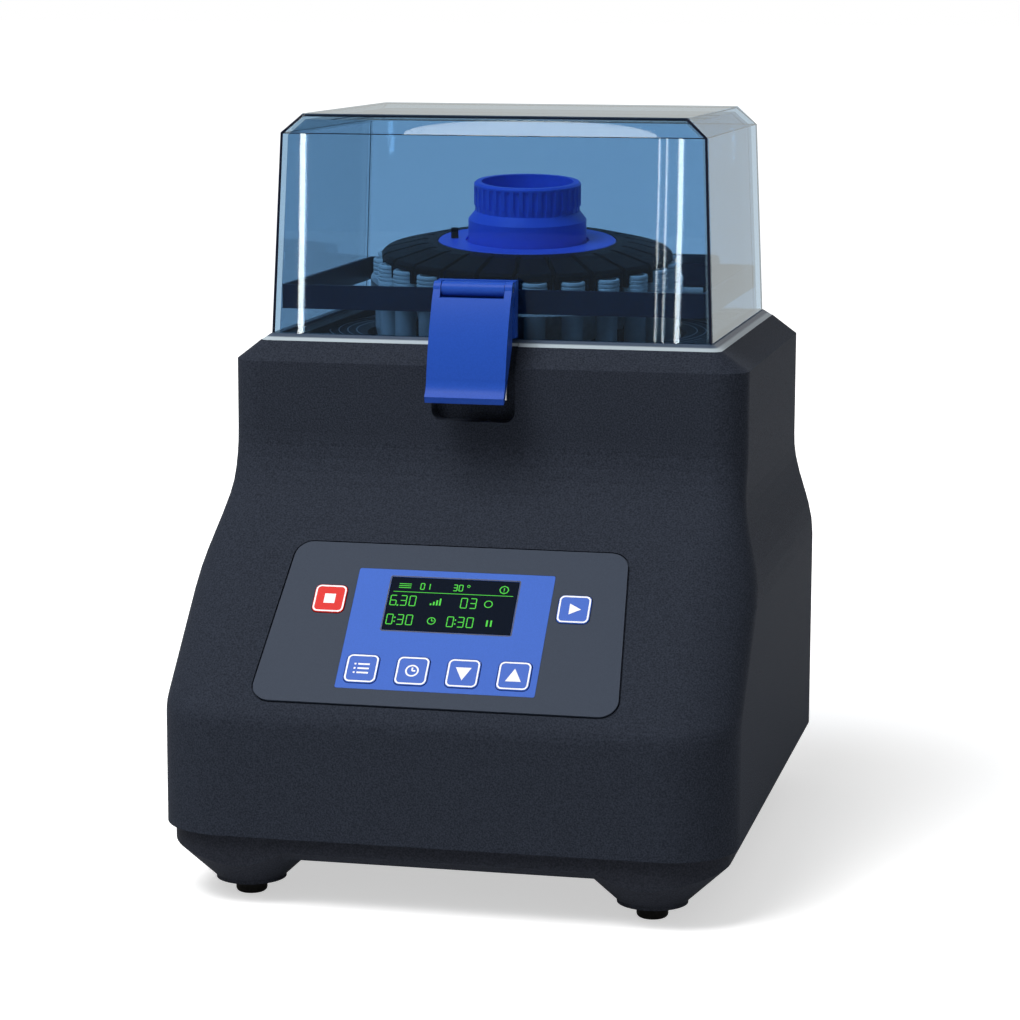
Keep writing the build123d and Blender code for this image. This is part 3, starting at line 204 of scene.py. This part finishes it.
def lid_material():
    """Tinted clear plastic: light passes with a blue tint, and the surface mirrors more at low angles."""
    material, tree, output = new_material("lid_plastic")
    through = new_node(tree, "ShaderNodeBsdfTransparent", {"Color": LID_TINT + [1]})
    body = new_node(tree, "ShaderNodeBsdfDiffuse", {"Color": LID_BODY + [1]})
    inner = mix(tree, LID_HAZE, through.outputs["BSDF"], body.outputs["BSDF"])
    gloss = new_node(tree, "ShaderNodeBsdfGlossy", {"Roughness": LID_ROUGHNESS, "Color": LID_GLOSS + [1]})
    # Layer Weight is the same from inside and outside, so the walls mirror alike both ways
    facing = new_node(tree, "ShaderNodeLayerWeight", {"Blend": 0.5})
    rise = maths(tree, "POWER", facing.outputs["Facing"], LID_GRAZE)
    mirror = map_range(tree, rise, (0.0, 1.0), (LID_MIRROR, 1.0))
    waves = grain_relief(tree, **LID_WAVES)[1]
    link(tree, waves, gloss.inputs["Normal"])
    link(tree, mix(tree, mirror, inner, gloss.outputs["BSDF"]), output.inputs["Surface"])
    return material


# The seal's colours along its lower and upper edge, and where one turns into the other in shares of its height
SEAL_PALE = [0.36, 0.42, 0.46]
SEAL_SHADED = [0.045, 0.065, 0.10]
SEAL_PALE_TOP, SEAL_SHADED_FROM = 0.42, 0.62


def seal_material():
    """Pale along the lower edge, darker above, where it lies in the lid's shade."""
    material, tree, output = new_material("seal_shaded")
    shader = new_node(tree, "ShaderNodeBsdfPrincipled", {"Roughness": 0.5, "Specular IOR Level": 0.1})
    coords = tree.nodes.new("ShaderNodeTexCoord")
    split = tree.nodes.new("ShaderNodeSeparateXYZ")
    link(tree, coords.outputs["Generated"], split.inputs["Vector"])
    colour = ramp_between(tree, split.outputs["Z"], SEAL_PALE_TOP, SEAL_PALE, SEAL_SHADED_FROM, SEAL_SHADED)
    link(tree, colour, shader.inputs["Base Color"])
    link(tree, shader.outputs["BSDF"], output.inputs["Surface"])
    return material


MATERIALS = {
    "housing_charcoal": solid("housing_charcoal", [0.024, 0.029, 0.041], 0.65, 0, 0.3, 1300, 0.45, 0.0003, shine=0.012),
    "pan_charcoal": solid("pan_charcoal", [0.023, 0.026, 0.035], 0.65, 0, 0.25, 1300, 0.4, shine=0.02),
    "foot_rubber": solid("foot_rubber", [0.012, 0.012, 0.011], 0.75, 0, 0.1, 600, shine=0.1),
    "panel_grey": solid("panel_grey", [0.037, 0.048, 0.071], 0.45, 0, 0.06, 1800, 0.08, shine=0.05),
    "field_blue": solid("field_blue", [0.044, 0.122, 0.490], 0.42, 0, 0.04, 1800, 0.05, shine=0.06),
    "key_blue": solid("key_blue", [0.046, 0.122, 0.490], 0.38, 0, 0.04, 1800, 0.05, shine=0.08),
    "key_red": solid("key_red", [0.640, 0.019, 0.014], 0.38, 0, 0.04, 1800, 0.05, shine=0.08),
    "display_black": solid("display_black", [0.001, 0.004, 0.012], 0.3, 0, 0.05, 500, 0.0, 0.0001, shine=0.01),
    "board_green": solid("board_green", [0.03, 0.17, 0.07], 0.45, 0, 0.15, 700),
    "deck_black": solid("deck_black", [0.004, 0.006, 0.010], 0.45, 0, 0.12, 900, 0.1, shine=0.05),
    "boot_rubber": solid("boot_rubber", [0.012, 0.012, 0.014], 0.65, 0, 0.1, 500, shine=0.25),
    "seal_grey": seal_material(),
    "lid_blue_clear": lid_material(),
    "band_black": solid("band_black", [0.012, 0.022, 0.052], 0.4, 0, 0.08, 500, 0.05, shine=0.05),
    "latch_blue": solid("latch_blue", [0.018, 0.070, 0.385], 0.3, 0, 0.05, 1200, 0.05, 0.0001, shine=0.06),
    "knob_blue": solid("knob_blue", [0.070, 0.160, 0.900], 0.4, 0, 0.06, 1200, 0.08, shine=0.15),
    "clamp_black": solid("clamp_black", [0.005, 0.005, 0.007], 0.4, 0, 0.1, 1200, 0.1, shine=0.02),
    "tube_clear": solid("tube_clear", [0.800, 0.860, 0.920], 0.35, 0, 0.05, 600, 0.05, 0.0001, 0.2, 0.35),
    "cap_clear": solid("cap_clear", [0.860, 0.940, 1.000], 0.35, 0, 0.05, 600, 0.05, 0.0001, 0.2, 0.22, shine=0.4),
    "steel": solid("steel", [0.55, 0.55, 0.55], 0.3, 1, 0.1, 500, 0.08),
    "aluminium": solid("aluminium", [0.62, 0.63, 0.65], 0.35, 1, 0.1, 500, 0.08),
    "brass": solid("brass", [0.70, 0.52, 0.22], 0.28, 1, 0.08, 500, 0.06),
    "motor_grey": solid("motor_grey", [0.09, 0.09, 0.10], 0.45, 0, 0.15, 900),
    "black_plastic": solid("black_plastic", [0.016, 0.016, 0.017], 0.42, 0, 0.12, 1200, 0.15, shine=0.3),
    "panel_steel": solid("panel_steel", [0.035, 0.037, 0.042], 0.5, 0, 0.15, 1600, 0.3, shine=0.3),
    "ink_white": solid("ink_white", [0.80, 0.81, 0.83], 0.5, 0, 0.02, 1200, 0.02),
    "ink_green": glowing("ink_green", [0.130, 0.850, 0.100], 0.9),
    # Painted shade: the colour of the thin lines drawn along the lid's back edges
    "painted_edge_blue": solid("painted_edge_blue", [0.045, 0.085, 0.14], 0.3, 0, 0.05, 900, 0.02, shine=0.1),
    # Painted highlight: the pale colour of the lines along the deck's rib crests
    "rib_painted_highlight": solid("rib_painted_highlight", [0.16, 0.20, 0.27], 0.35, 0, 0.05, 900, 0.02, shine=0.4),
    # Dark print and marks, and the painted shade of the dark lines along the lid's front edges
    "dark_mark_and_painted_edge": solid("dark_mark_and_painted_edge", [0.003, 0.006, 0.02], 0.3, 0, 0.05, 900, 0.02, shine=0.2),
}

for row in frame["record"]["subparts"]:
    data = nodes[row["node"]].data
    data.materials.clear()
    data.materials.append(MATERIALS[row["material_slot"]])


# Mesh helpers
def mesh_piece(name, points, faces, material, body, slot=None):
    """A piece from its points in metres. The slot is not used."""
    data = bpy.data.meshes.new(name)
    data.from_pydata([tuple(p) for p in points], [], faces)
    data.update()
    data.materials.append(MATERIALS[material])
    piece = bpy.data.objects.new(name, data)
    bpy.context.scene.collection.objects.link(piece)
    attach(piece, body)
    return piece


def on_slope(x, distance, height):
    """A point from x in panel millimetres, the distance up the slope and the height over its face."""
    flat = SLOPE_START + UP_SLOPE * distance * MM + OUT_OF_SLOPE * height * MM
    return Vector(((PANEL_X + x) * MM, flat.y, flat.z))


def rounded_loop(width, height, radius, steps=6):
    """The points of a rounded rectangle round the origin."""
    loop = []
    for turn, (sx, sy) in enumerate([(1, 1), (-1, 1), (-1, -1), (1, -1)]):
        for i in range(steps + 1):
            angle = pi / 2 * (turn + i / steps)
            loop.append((sx * (width / 2 - radius) + radius * cos(angle),
                         sy * (height / 2 - radius) + radius * sin(angle)))
    return loop


def circle_loop(radius, steps=32):
    return [(radius * cos(2 * pi * i / steps), radius * sin(2 * pi * i / steps)) for i in range(steps)]


class Print:
    """Flat print on the slope: polygons and rings gathered into one piece."""

    def __init__(self, x, distance, height):
        self.place = (x, distance, height)
        self.points = []
        self.faces = []

    def put(self, loop):
        """Adds the loop's points and gives the number of the first."""
        start = len(self.points)
        x, distance, height = self.place
        self.points += [on_slope(x + u, distance + v, height) for u, v in loop]
        return start

    def fill(self, loop):
        start = self.put(loop)
        self.faces.append(list(range(start, start + len(loop))))

    def bar(self, u, v, width, height):
        half_w, half_h = width / 2, height / 2
        self.fill([(u - half_w, v - half_h), (u + half_w, v - half_h),
                   (u + half_w, v + half_h), (u - half_w, v + half_h)])

    def ring(self, outer, inner, u=0.0, v=0.0):
        first = self.put([(a + u, b + v) for a, b in outer])
        second = self.put([(a + u, b + v) for a, b in inner])
        count = len(outer)
        for i in range(count):
            j = (i + 1) % count
            self.faces.append([first + i, first + j, second + j, second + i])

    def finish(self, name, material, body, slot):
        return mesh_piece(name, self.points, self.faces, material, body, slot)


# Key outlines and plain signs
KEY_OUTLINE = 15.2
KEY_LINE = 0.8
KEY_CORNER, KEY_INNER_CORNER = 2.6, 1.9
STOP_SQUARE = 5.4
ARROW_HALF, ARROW_BASE, ARROW_TIP = 3.8, 3.2, 4.0
LIST_ROWS = (-2.4, 0, 2.4)
CLOCK_OUTER, CLOCK_INNER = 3.3, 2.5


def key_print(name):
    """The white outline of a key with its sign."""
    x, distance = KEY_PLACES[name]
    mark = Print(x, distance, KEY_FACE + INK_LIFT)
    inner = KEY_OUTLINE - 2 * KEY_LINE
    mark.ring(rounded_loop(KEY_OUTLINE, KEY_OUTLINE, KEY_CORNER), rounded_loop(inner, inner, KEY_INNER_CORNER))
    if name == "stop_key":
        mark.bar(0, 0, STOP_SQUARE, STOP_SQUARE)
    elif name == "run_key":
        mark.fill([(-2.3, -3.1), (3.4, 0), (-2.3, 3.1)])
    elif name == "program_key":
        for row in LIST_ROWS:
            mark.bar(0.8, row, 5.6, 0.9)
            mark.bar(-3.4, row, 0.9, 0.9)
    elif name == "set_key":
        mark.ring(circle_loop(CLOCK_OUTER), circle_loop(CLOCK_INNER))
        mark.bar(0, 0.9, 0.8, 1.8)
        mark.bar(0.8, 0, 1.6, 0.8)
    elif name == "down_key":
        mark.fill([(-ARROW_HALF, ARROW_BASE), (0, -ARROW_TIP), (ARROW_HALF, ARROW_BASE)])
    elif name == "up_key":
        mark.fill([(-ARROW_HALF, -ARROW_BASE), (ARROW_HALF, -ARROW_BASE), (0, ARROW_TIP)])
    mark.finish(name + "_print", "ink_white", name, "key_blue")


for key_name in KEY_PLACES:
    key_print(key_name)

# Numbers on the display, drawn as seven-segment figures
SEGMENTS = {"0": "abcdef", "1": "bc", "3": "abgcd", "6": "afgedc"}
DISPLAY_MIDDLE = 67.85
SEGMENT_LINE = 0.46
FIGURE_WIDTH = 0.52
FIGURE_STEP = 1.55


def figures(mark, text, u, v, height):
    """Figures side by side, the first with its middle at u, v. Points stand between them."""
    width = height * FIGURE_WIDTH
    for sign in text:
        if sign == ".":
            mark.bar(u - width * 0.72, v - height / 2, SEGMENT_LINE * 1.7, SEGMENT_LINE * 1.7)
            u += width * 0.15
            continue
        if sign == ":":
            for side in (-1, 1):
                mark.bar(u - width * 0.70, v + side * height / 5, SEGMENT_LINE * 1.5, SEGMENT_LINE * 1.5)
            u += width * 0.22
            continue
        half_w, half_h = width / 2, height / 2
        bars = {
            "a": (0, half_h, width, SEGMENT_LINE), "g": (0, 0, width, SEGMENT_LINE),
            "d": (0, -half_h, width, SEGMENT_LINE),
            "b": (half_w, half_h / 2, SEGMENT_LINE, half_h), "c": (half_w, -half_h / 2, SEGMENT_LINE, half_h),
            "f": (-half_w, half_h / 2, SEGMENT_LINE, half_h), "e": (-half_w, -half_h / 2, SEGMENT_LINE, half_h),
        }
        for letter in SEGMENTS[sign]:
            du, dv, w, h = bars[letter]
            mark.bar(u + du, v + dv, w * 0.9 + 0.05, h * 0.9 + 0.05)
        u += width * FIGURE_STEP


# The display: three rows of figures, with plain signs beside them
TOP_ROW, MIDDLE_ROW, LOW_ROW = 10.4, 1.8, -9.2
BIG, SMALL = 5.6, 3.4
FIGURES = (
    ("01", -15.6, TOP_ROW, SMALL),
    ("30", 0.6, TOP_ROW, SMALL),
    ("6.30", -28.6, MIDDLE_ROW, BIG),
    ("03", 6.2, MIDDLE_ROW, BIG),
    ("0:30", -28.6, LOW_ROW, BIG),
    ("0:30", 1.2, LOW_ROW, BIG),
)
RULE_V, RULE_LENGTH, RULE_WIDTH = 6.9, 59, 0.3
DEGREE_U, NOTICE_U, LIST_U, BARS_U, RING_U, CLOCK_U, PAUSE_U = 7.0, 24.6, -24.2, -10.0, 18.2, -8.0, 20.2
FINE_LINE = 0.45
SIGN_OUTER, SIGN_INNER = 2.1, 1.65
readout = Print(0, DISPLAY_MIDDLE, FIELD_FACE + INK_LIFT)
for figure in FIGURES:
    figures(readout, *figure)
readout.bar(0, RULE_V, RULE_LENGTH, RULE_WIDTH)
# Top row: a degree ring, an eight-sided notice sign and a list
readout.ring(circle_loop(0.8, 16), circle_loop(0.45, 16), DEGREE_U, TOP_ROW + 1.2)
readout.ring(circle_loop(2.4, 8), circle_loop(1.9, 8), NOTICE_U, TOP_ROW)
readout.bar(NOTICE_U, TOP_ROW + 0.3, FINE_LINE, 1.5)
readout.bar(NOTICE_U, TOP_ROW - 1.1, FINE_LINE, FINE_LINE)
for row in (-1.1, 0, 1.1):
    readout.bar(LIST_U, TOP_ROW + row, 6.0, 0.4)
# Middle row: rising bars and a ring
for i, rise in enumerate((1.0, 2.0, 3.0, 4.0)):
    readout.bar(BARS_U + 1.5 * i, MIDDLE_ROW - 2.0 + rise / 2, 0.8, rise)
readout.ring(circle_loop(SIGN_OUTER, 24), circle_loop(SIGN_INNER, 24), RING_U, MIDDLE_ROW)
# Low row: a clock and two upright bars
readout.ring(circle_loop(SIGN_OUTER, 24), circle_loop(SIGN_INNER, 24), CLOCK_U, LOW_ROW)
readout.bar(CLOCK_U, LOW_ROW + 0.7, 0.4, 1.4)
readout.bar(CLOCK_U + 0.6, LOW_ROW, 1.2, 0.4)
for side in (-1, 1):
    readout.bar(PAUSE_U + side, LOW_ROW, 0.8, 3.6)
readout.finish("display_readout", "ink_green", "housing", "display_black")

# Frame round the display
BEZEL_WIDTH, BEZEL_HEIGHT, BEZEL_LINE = 64.4, 32.1, 0.5
bezel = Print(0, DISPLAY_MIDDLE, FIELD_FACE + INK_LIFT)
bezel.ring(rounded_loop(BEZEL_WIDTH, BEZEL_HEIGHT, 1.0),
           rounded_loop(BEZEL_WIDTH - 2 * BEZEL_LINE, BEZEL_HEIGHT - 2 * BEZEL_LINE, 0.6))
bezel.finish("display_edge", "dark_mark_and_painted_edge", "housing", "panel_grey")


# Ringed caps stand for the plain ones
def rotor_point(height, radius, angle, u=0.0, v=0.0):
    """A point on the leaning rotor, from its height, its place on a spoke and the offset along and across that."""
    spoke = ROTOR_X * cos(angle) + ROTOR_Y * sin(angle)
    side = ROTOR_AXIS.cross(spoke)
    return ROTOR_PIVOT + (ROTOR_AXIS * (height - PIVOT_HEIGHT) + spoke * (radius + u) + side * v) * MM


def cap_mesh():
    """Caps with the rings of their threads showing, a rounded rim and a sunk top."""
    ring = 32
    body = CAP_HEIGHT - 1.2
    foot = 0.4
    levels = [(0.0, 0.0), (foot, 0.0)]
    step = (body - 2 * foot) / CAP_GROOVES
    for i in range(CAP_GROOVES):
        low = foot + step * i
        levels += [(low + 0.45 * step, 0.0), (low + 0.6 * step, GROOVE_DEPTH), (low + 0.85 * step, GROOVE_DEPTH),
                   (low + step, 0.0)]
    levels += [(body, 0.0), (CAP_HEIGHT - 0.3, 0.25), (CAP_HEIGHT, 0.7), (CAP_HEIGHT, 1.6), (CAP_HEIGHT - 0.8, 2.0)]
    points, faces = [], []
    for tube in range(TUBE_COUNT):
        angle = 2 * pi * tube / TUBE_COUNT
        start = len(points)
        for rise, inset in levels:
            radius = CAP_RADIUS - CAP_CLEAR - inset
            for i in range(ring):
                turn = 2 * pi * i / ring
                u, v = radius * cos(turn), radius * sin(turn)
                points.append(rotor_point(PLATE_TOP + rise, TUBE_CIRCLE, angle, u, v))
        for level in range(len(levels) - 1):
            for i in range(ring):
                j = (i + 1) % ring
                low = start + level * ring
                faces.append([low + i, low + j, low + ring + j, low + ring + i])
        faces.append([start + i for i in reversed(range(ring))])
        last = start + (len(levels) - 1) * ring
        faces.append([last + i for i in range(ring)])
    return points, faces


caps = mesh_piece("ribbed_caps", *cap_mesh(), "cap_clear", "rotor")
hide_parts("tube_caps")

# Painted dark edges of the lid: thin dark lines of painted shade stand for the darkening where the view runs along its
# tinted walls. The lid's width, depth and height at its foot, at the turn of its walls and at its top:
LID_LEVELS = [(222.6, 181.5, 264.0), (214.4, 174.6, 363.1), (194.4, 167.6, 372.8)]
LID_TOP = LID_LEVELS[2][2]


def lid_corner_points(level, inset):
    """The lid's four corners at a level, drawn in by the inset: left front, right front, right back and left back."""
    width, depth, height = LID_LEVELS[level]
    half_x, half_y = width / 2 - inset, depth / 2 - inset
    return [Vector((sx * half_x, AXIS_Y + sy * half_y, height - (inset if level == 2 else 0)))
            for sx, sy in ((-1, -1), (1, -1), (1, 1), (-1, 1))]


def painted_edge_tube(name, points, radius, closed=False, material="dark_mark_and_painted_edge"):
    """A thin round line of painted shade through the points, inside the lid's wall."""
    curve = bpy.data.curves.new(name, "CURVE")
    curve.dimensions = "3D"
    curve.bevel_depth = radius * MM
    curve.bevel_resolution = 2
    line = curve.splines.new("POLY")
    line.points.add(len(points) - 1)
    for node, place in zip(line.points, points):
        node.co = (*(place * MM), 1)
    line.use_cyclic_u = closed
    curve.materials.append(MATERIALS[material])
    piece = bpy.data.objects.new(name, curve)
    bpy.context.scene.collection.objects.link(piece)
    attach(piece, "lid")


# Radii and insets of the lines of painted shade along the lid's edges
EDGE, FINE_EDGE, TURN_EDGE = 0.75, 0.3, 0.25
EDGE_INSET, TURN_INSET = 0.8, 0.9
corners = [lid_corner_points(level, EDGE_INSET) for level in range(3)]
for i, place in enumerate(("left_front", "right_front")):
    painted_edge_tube("lid_painted_edge_" + place, [corners[level][i] for level in range(3)], EDGE)
for i, place in ((2, "right_back"), (3, "left_back")):
    painted_edge_tube("lid_painted_edge_" + place, [corners[level][i] for level in range(3)], FINE_EDGE, material="painted_edge_blue")
painted_edge_tube("lid_top_painted_edge_front", corners[2][:2], EDGE)
painted_edge_tube("lid_top_painted_edge_back", [corners[2][i] for i in (1, 2, 3, 0)], FINE_EDGE, material="painted_edge_blue")
painted_edge_tube("lid_turn_painted_edge", lid_corner_points(1, TURN_INSET), TURN_EDGE, closed=True)

# The moulding mark in the middle of the lid's top
MARK_STEPS = 24
MARK_OUTER, MARK_INNER, MARK_DEPTH = 1.9, 1.1, 0.06
mark_points = [Vector((u, AXIS_Y + v, LID_TOP - MARK_DEPTH)) * MM
               for radius in (MARK_OUTER, MARK_INNER) for u, v in circle_loop(radius, MARK_STEPS)]
mark_faces = [[i, (i + 1) % MARK_STEPS, MARK_STEPS + (i + 1) % MARK_STEPS, MARK_STEPS + i] for i in range(MARK_STEPS)]
mesh_piece("lid_mould_mark", mark_points, mark_faces, "dark_mark_and_painted_edge", "lid", "band_black")

# Painted highlights: fine pale round lines on the deck's corners, on top of the moulded ribs, stand for the glints
# along the rib crests
DECK_RIB_TOP = 259.2
DECK_HALF = (99.5, 83.0)
RIB_LIFT = 0.05
RIB_COUNT, RIB_FIRST, RIB_STEP, RIB_WIDTH = 4, 88.3, 4.6, 0.6
rib_points, rib_faces = [], []
for i in range(RIB_COUNT):
    radius = RIB_FIRST + RIB_STEP * i
    for step in range(360):
        corner = []
        outer = radius + RIB_WIDTH
        for r, a in ((radius, step), (outer, step), (outer, step + 1), (radius, step + 1)):
            corner.append((r * cos(radians(a)), r * sin(radians(a))))
        if all(abs(x) < DECK_HALF[0] and abs(y) < DECK_HALF[1] for x, y in corner):
            start = len(rib_points)
            rib_points += [Vector((x, AXIS_Y + y, DECK_RIB_TOP + RIB_LIFT)) * MM for x, y in corner]
            rib_faces.append(list(range(start, start + 4)))
mesh_piece("deck_rib_highlights", rib_points, rib_faces, "rib_painted_highlight", "housing", "deck_black")


# Screws at the back
SCREW_STEPS = 24
SCREW_HEIGHT, SCREW_ROUNDING, SOCKET_DEPTH = 1.2, 0.4, 0.9
SOCKET_RADIUS, SOCKET_FOOT = 1.4, 1.2


def screws(name, places, y, body, radius):
    """Round heads with a round socket, standing on the plane y and facing the back."""
    profile = ((radius, 0.0), (radius, SCREW_HEIGHT - SCREW_ROUNDING), (radius - SCREW_ROUNDING, SCREW_HEIGHT),
               (SOCKET_RADIUS, SCREW_HEIGHT), (SOCKET_FOOT, SCREW_HEIGHT - SOCKET_DEPTH))
    points, faces = [], []
    for x, z in places:
        start = len(points)
        for r, rise in profile:
            points += [Vector((x + u, y + rise, z + v)) * MM for u, v in circle_loop(r, SCREW_STEPS)]
        for level in range(len(profile) - 1):
            for i in range(SCREW_STEPS):
                j = (i + 1) % SCREW_STEPS
                low = start + level * SCREW_STEPS
                faces.append([low + i, low + SCREW_STEPS + i, low + SCREW_STEPS + j, low + j])
        last = start + (len(profile) - 1) * SCREW_STEPS
        faces.append([last + i for i in reversed(range(SCREW_STEPS))])
    mesh_piece(name, points, faces, "steel", body)


REAR_FACE, HOUSING_LEAF_FACE, LID_LEAF_FACE = 162.45, 149.05, 133.85
HINGE_X = 70
SMALL_HEAD, LARGE_HEAD = 2.2, 2.4
screws("rear_panel_screws", [(x, z) for x in (-97, 97) for z in (50.5, 121.5)], REAR_FACE, "housing", SMALL_HEAD)
screws("fan_screws", [(x, z) for x in (25, 75) for z in (61, 111)], REAR_FACE, "housing", SMALL_HEAD)
screws("housing_hinge_screws", [(side * HINGE_X + dx, 237.0) for side in (-1, 1) for dx in (-12.5, 12.5)],
       HOUSING_LEAF_FACE, "housing", LARGE_HEAD)
screws("lid_hinge_screws", [(side * HINGE_X + dx, 285.5) for side in (-1, 1) for dx in (-10, 10)],
       LID_LEAF_FACE, "lid", SMALL_HEAD)

# Floor and backdrop. Both show white to the camera and through glass, and in mirrors they are dimmer before the object
# than behind it, as a studio is behind the camera.
FLOOR_HALF = 40.0
FLOOR_COLOUR = [0.8, 0.8, 0.8, 1]
FLOOR_GLOW, BACKDROP_GLOW = 0.55, 1.0
FADE_START, FADE_END = 0.3, 0.9
FRONT_SHADE = 0.12
FLOOR_SHADE_Y = (-0.3, 0.5)
SKY_SHADE_Y = (-0.7, 0.1)
WORLD_LIGHT = 0.22
WHITE = [1, 1, 1, 1]


def across(tree, output):
    """A texture coordinate and its Y part."""
    coords = tree.nodes.new("ShaderNodeTexCoord")
    split = tree.nodes.new("ShaderNodeSeparateXYZ")
    link(tree, coords.outputs[output], split.inputs["Vector"])
    return coords.outputs[output], split.outputs["Y"]


def ray_kinds(tree):
    """1 for rays that see directly, from the camera or through glass, and 1 for rays in mirrors."""
    paths = tree.nodes.new("ShaderNodeLightPath")
    direct = maths(tree, "MAXIMUM", paths.outputs["Is Camera Ray"], paths.outputs["Is Transmission Ray"])
    return direct, paths.outputs["Is Glossy Ray"]


def floor_surface():
    """White cloth that takes the shadow, and turns into the backdrop far from the object."""
    material, tree, output = new_material("floor_white")
    cloth = new_node(tree, "ShaderNodeBsdfDiffuse", {"Color": FLOOR_COLOUR})
    glow = tree.nodes.new("ShaderNodeEmission")
    place, y = across(tree, "Object")
    distance = tree.nodes.new("ShaderNodeVectorMath")
    distance.operation = "LENGTH"
    link(tree, place, distance.inputs[0])
    fade = map_range(tree, distance.outputs["Value"], (FADE_START, FADE_END), (FLOOR_GLOW, BACKDROP_GLOW))
    direct, mirrored = ray_kinds(tree)
    mirrored = maths(tree, "MULTIPLY", mirrored, map_range(tree, y, FLOOR_SHADE_Y, (FRONT_SHADE, 1.0)))
    share = maths(tree, "MAXIMUM", direct, mirrored)
    link(tree, maths(tree, "MULTIPLY", share, fade), glow.inputs["Strength"])
    total = tree.nodes.new("ShaderNodeAddShader")
    link(tree, cloth.outputs["BSDF"], total.inputs[0])
    link(tree, glow.outputs["Emission"], total.inputs[1])
    link(tree, total.outputs["Shader"], output.inputs["Surface"])
    return material


floor_data = bpy.data.meshes.new("floor")
floor_data.from_pydata([(-FLOOR_HALF, -FLOOR_HALF, 0), (FLOOR_HALF, -FLOOR_HALF, 0), (FLOOR_HALF, FLOOR_HALF, 0),
                        (-FLOOR_HALF, FLOOR_HALF, 0)], [], [[0, 1, 2, 3]])
floor_data.materials.append(floor_surface())
floor = bpy.data.objects.new("floor", floor_data)
bpy.context.scene.collection.objects.link(floor)

# World: white to the camera, white or dimmer in mirrors, softer as a light
world = bpy.data.worlds.new("studio")
bpy.context.scene.world = world
world.use_nodes = True
sky = world.node_tree
sky.nodes.clear()
sky_output = sky.nodes.new("ShaderNodeOutputWorld")
seen = new_node(sky, "ShaderNodeBackground", {"Color": WHITE})
lit = new_node(sky, "ShaderNodeBackground", {"Color": WHITE, "Strength": WORLD_LIGHT})
sky_direct, sky_mirrored = ray_kinds(sky)
sky_shade = map_range(sky, across(sky, "Generated")[1], SKY_SHADE_Y, (FRONT_SHADE, 1.0))
link(sky, maths(sky, "MAXIMUM", sky_direct, sky_shade), seen.inputs["Strength"])
sky_share = maths(sky, "MAXIMUM", sky_direct, sky_mirrored)
link(sky, mix(sky, sky_share, lit.outputs["Background"], seen.outputs["Background"]), sky_output.inputs["Surface"])


# Lamps
def area_light(name, place, target, size, power, size_y=None, shape="RECTANGLE"):
    """A lamp of the size in metres and the power in watts, turned to its target."""
    light = bpy.data.lights.new(name, "AREA")
    light.energy = power
    light.size = size
    if size_y:
        light.shape = shape
        light.size_y = size_y
    lamp = bpy.data.objects.new(name, light)
    lamp.location = place
    lamp.rotation_euler = (Vector(target) - Vector(place)).to_track_quat("-Z", "Y").to_euler()
    bpy.context.scene.collection.objects.link(lamp)


MIDDLE = (0, 0, 0.2)
area_light("top_light", (-0.5, -0.7, 1.9), MIDDLE, 1.0, 31)
area_light("front_fill", (-0.9, -1.3, 1.9), MIDDLE, 0.8, 14)
area_light("right_fill", (1.6, -0.9, 0.8), MIDDLE, 0.8, 0.8)
area_light("back_fill", (0.7, 1.8, 1.3), MIDDLE, 1.0, 4)
# A small oval softbox that shows in the lid's front bevel. It faces along Y, so that its picture lies along the bevel.
SOFTBOX_X = -0.396
area_light("bevel_softbox", (SOFTBOX_X, -1.608, 1.541), (SOFTBOX_X, -0.047, 0.363), 0.29, 0.34, 0.034, "ELLIPSE")
# Narrow tubes that show as bright lines in the lid's front: the lamp's x, the x that it is turned to, width and power
LINE_Y, LINE_TARGET_Y = -1.62, -0.05
LINE_Z, LINE_TARGET_Z = 0.30, 0.31
LINE_LENGTH = 0.34
LINE_LIGHTS = {
    "line_light_left": (-0.548, -0.0975, 0.0055, 0.2),
    "line_light_inner": (-0.1832, 0.083, 0.0016, 0.03),
    "line_light_middle": (-0.1757, 0.087, 0.0016, 0.03),
    "line_light_right": (-0.1616, 0.093, 0.0048, 0.13),
}
for name, (x, target_x, width, power) in LINE_LIGHTS.items():
    area_light(name, (x, LINE_Y, LINE_Z), (target_x, LINE_TARGET_Y, LINE_TARGET_Z), width, power, LINE_LENGTH)

# Camera, fitted to the photograph
CAMERA_PLACE = Vector((0.3410, -1.5608, 0.4331))
CAMERA_FORWARD = Vector((-0.2106, 0.9640, -0.1624)).normalized()
CAMERA_ROLL = radians(0.19)
CAMERA_LENS = 111.34
SENSOR_WIDTH = 36.0
level = CAMERA_FORWARD.cross(Vector((0, 0, 1))).normalized()
upright = level.cross(CAMERA_FORWARD)
right = level * cos(CAMERA_ROLL) + upright * sin(CAMERA_ROLL)
up = right.cross(CAMERA_FORWARD)
camera_data = bpy.data.cameras.new("camera")
camera_data.lens = CAMERA_LENS
camera_data.sensor_width = SENSOR_WIDTH
camera_data.sensor_fit = "HORIZONTAL"
camera = bpy.data.objects.new("camera", camera_data)
camera.matrix_world = Matrix((
    (right.x, up.x, -CAMERA_FORWARD.x, CAMERA_PLACE.x),
    (right.y, up.y, -CAMERA_FORWARD.y, CAMERA_PLACE.y),
    (right.z, up.z, -CAMERA_FORWARD.z, CAMERA_PLACE.z),
    (0, 0, 0, 1),
))
bpy.context.scene.collection.objects.link(camera)
bpy.context.scene.camera = camera
bpy.context.scene.view_settings.view_transform = "Standard"
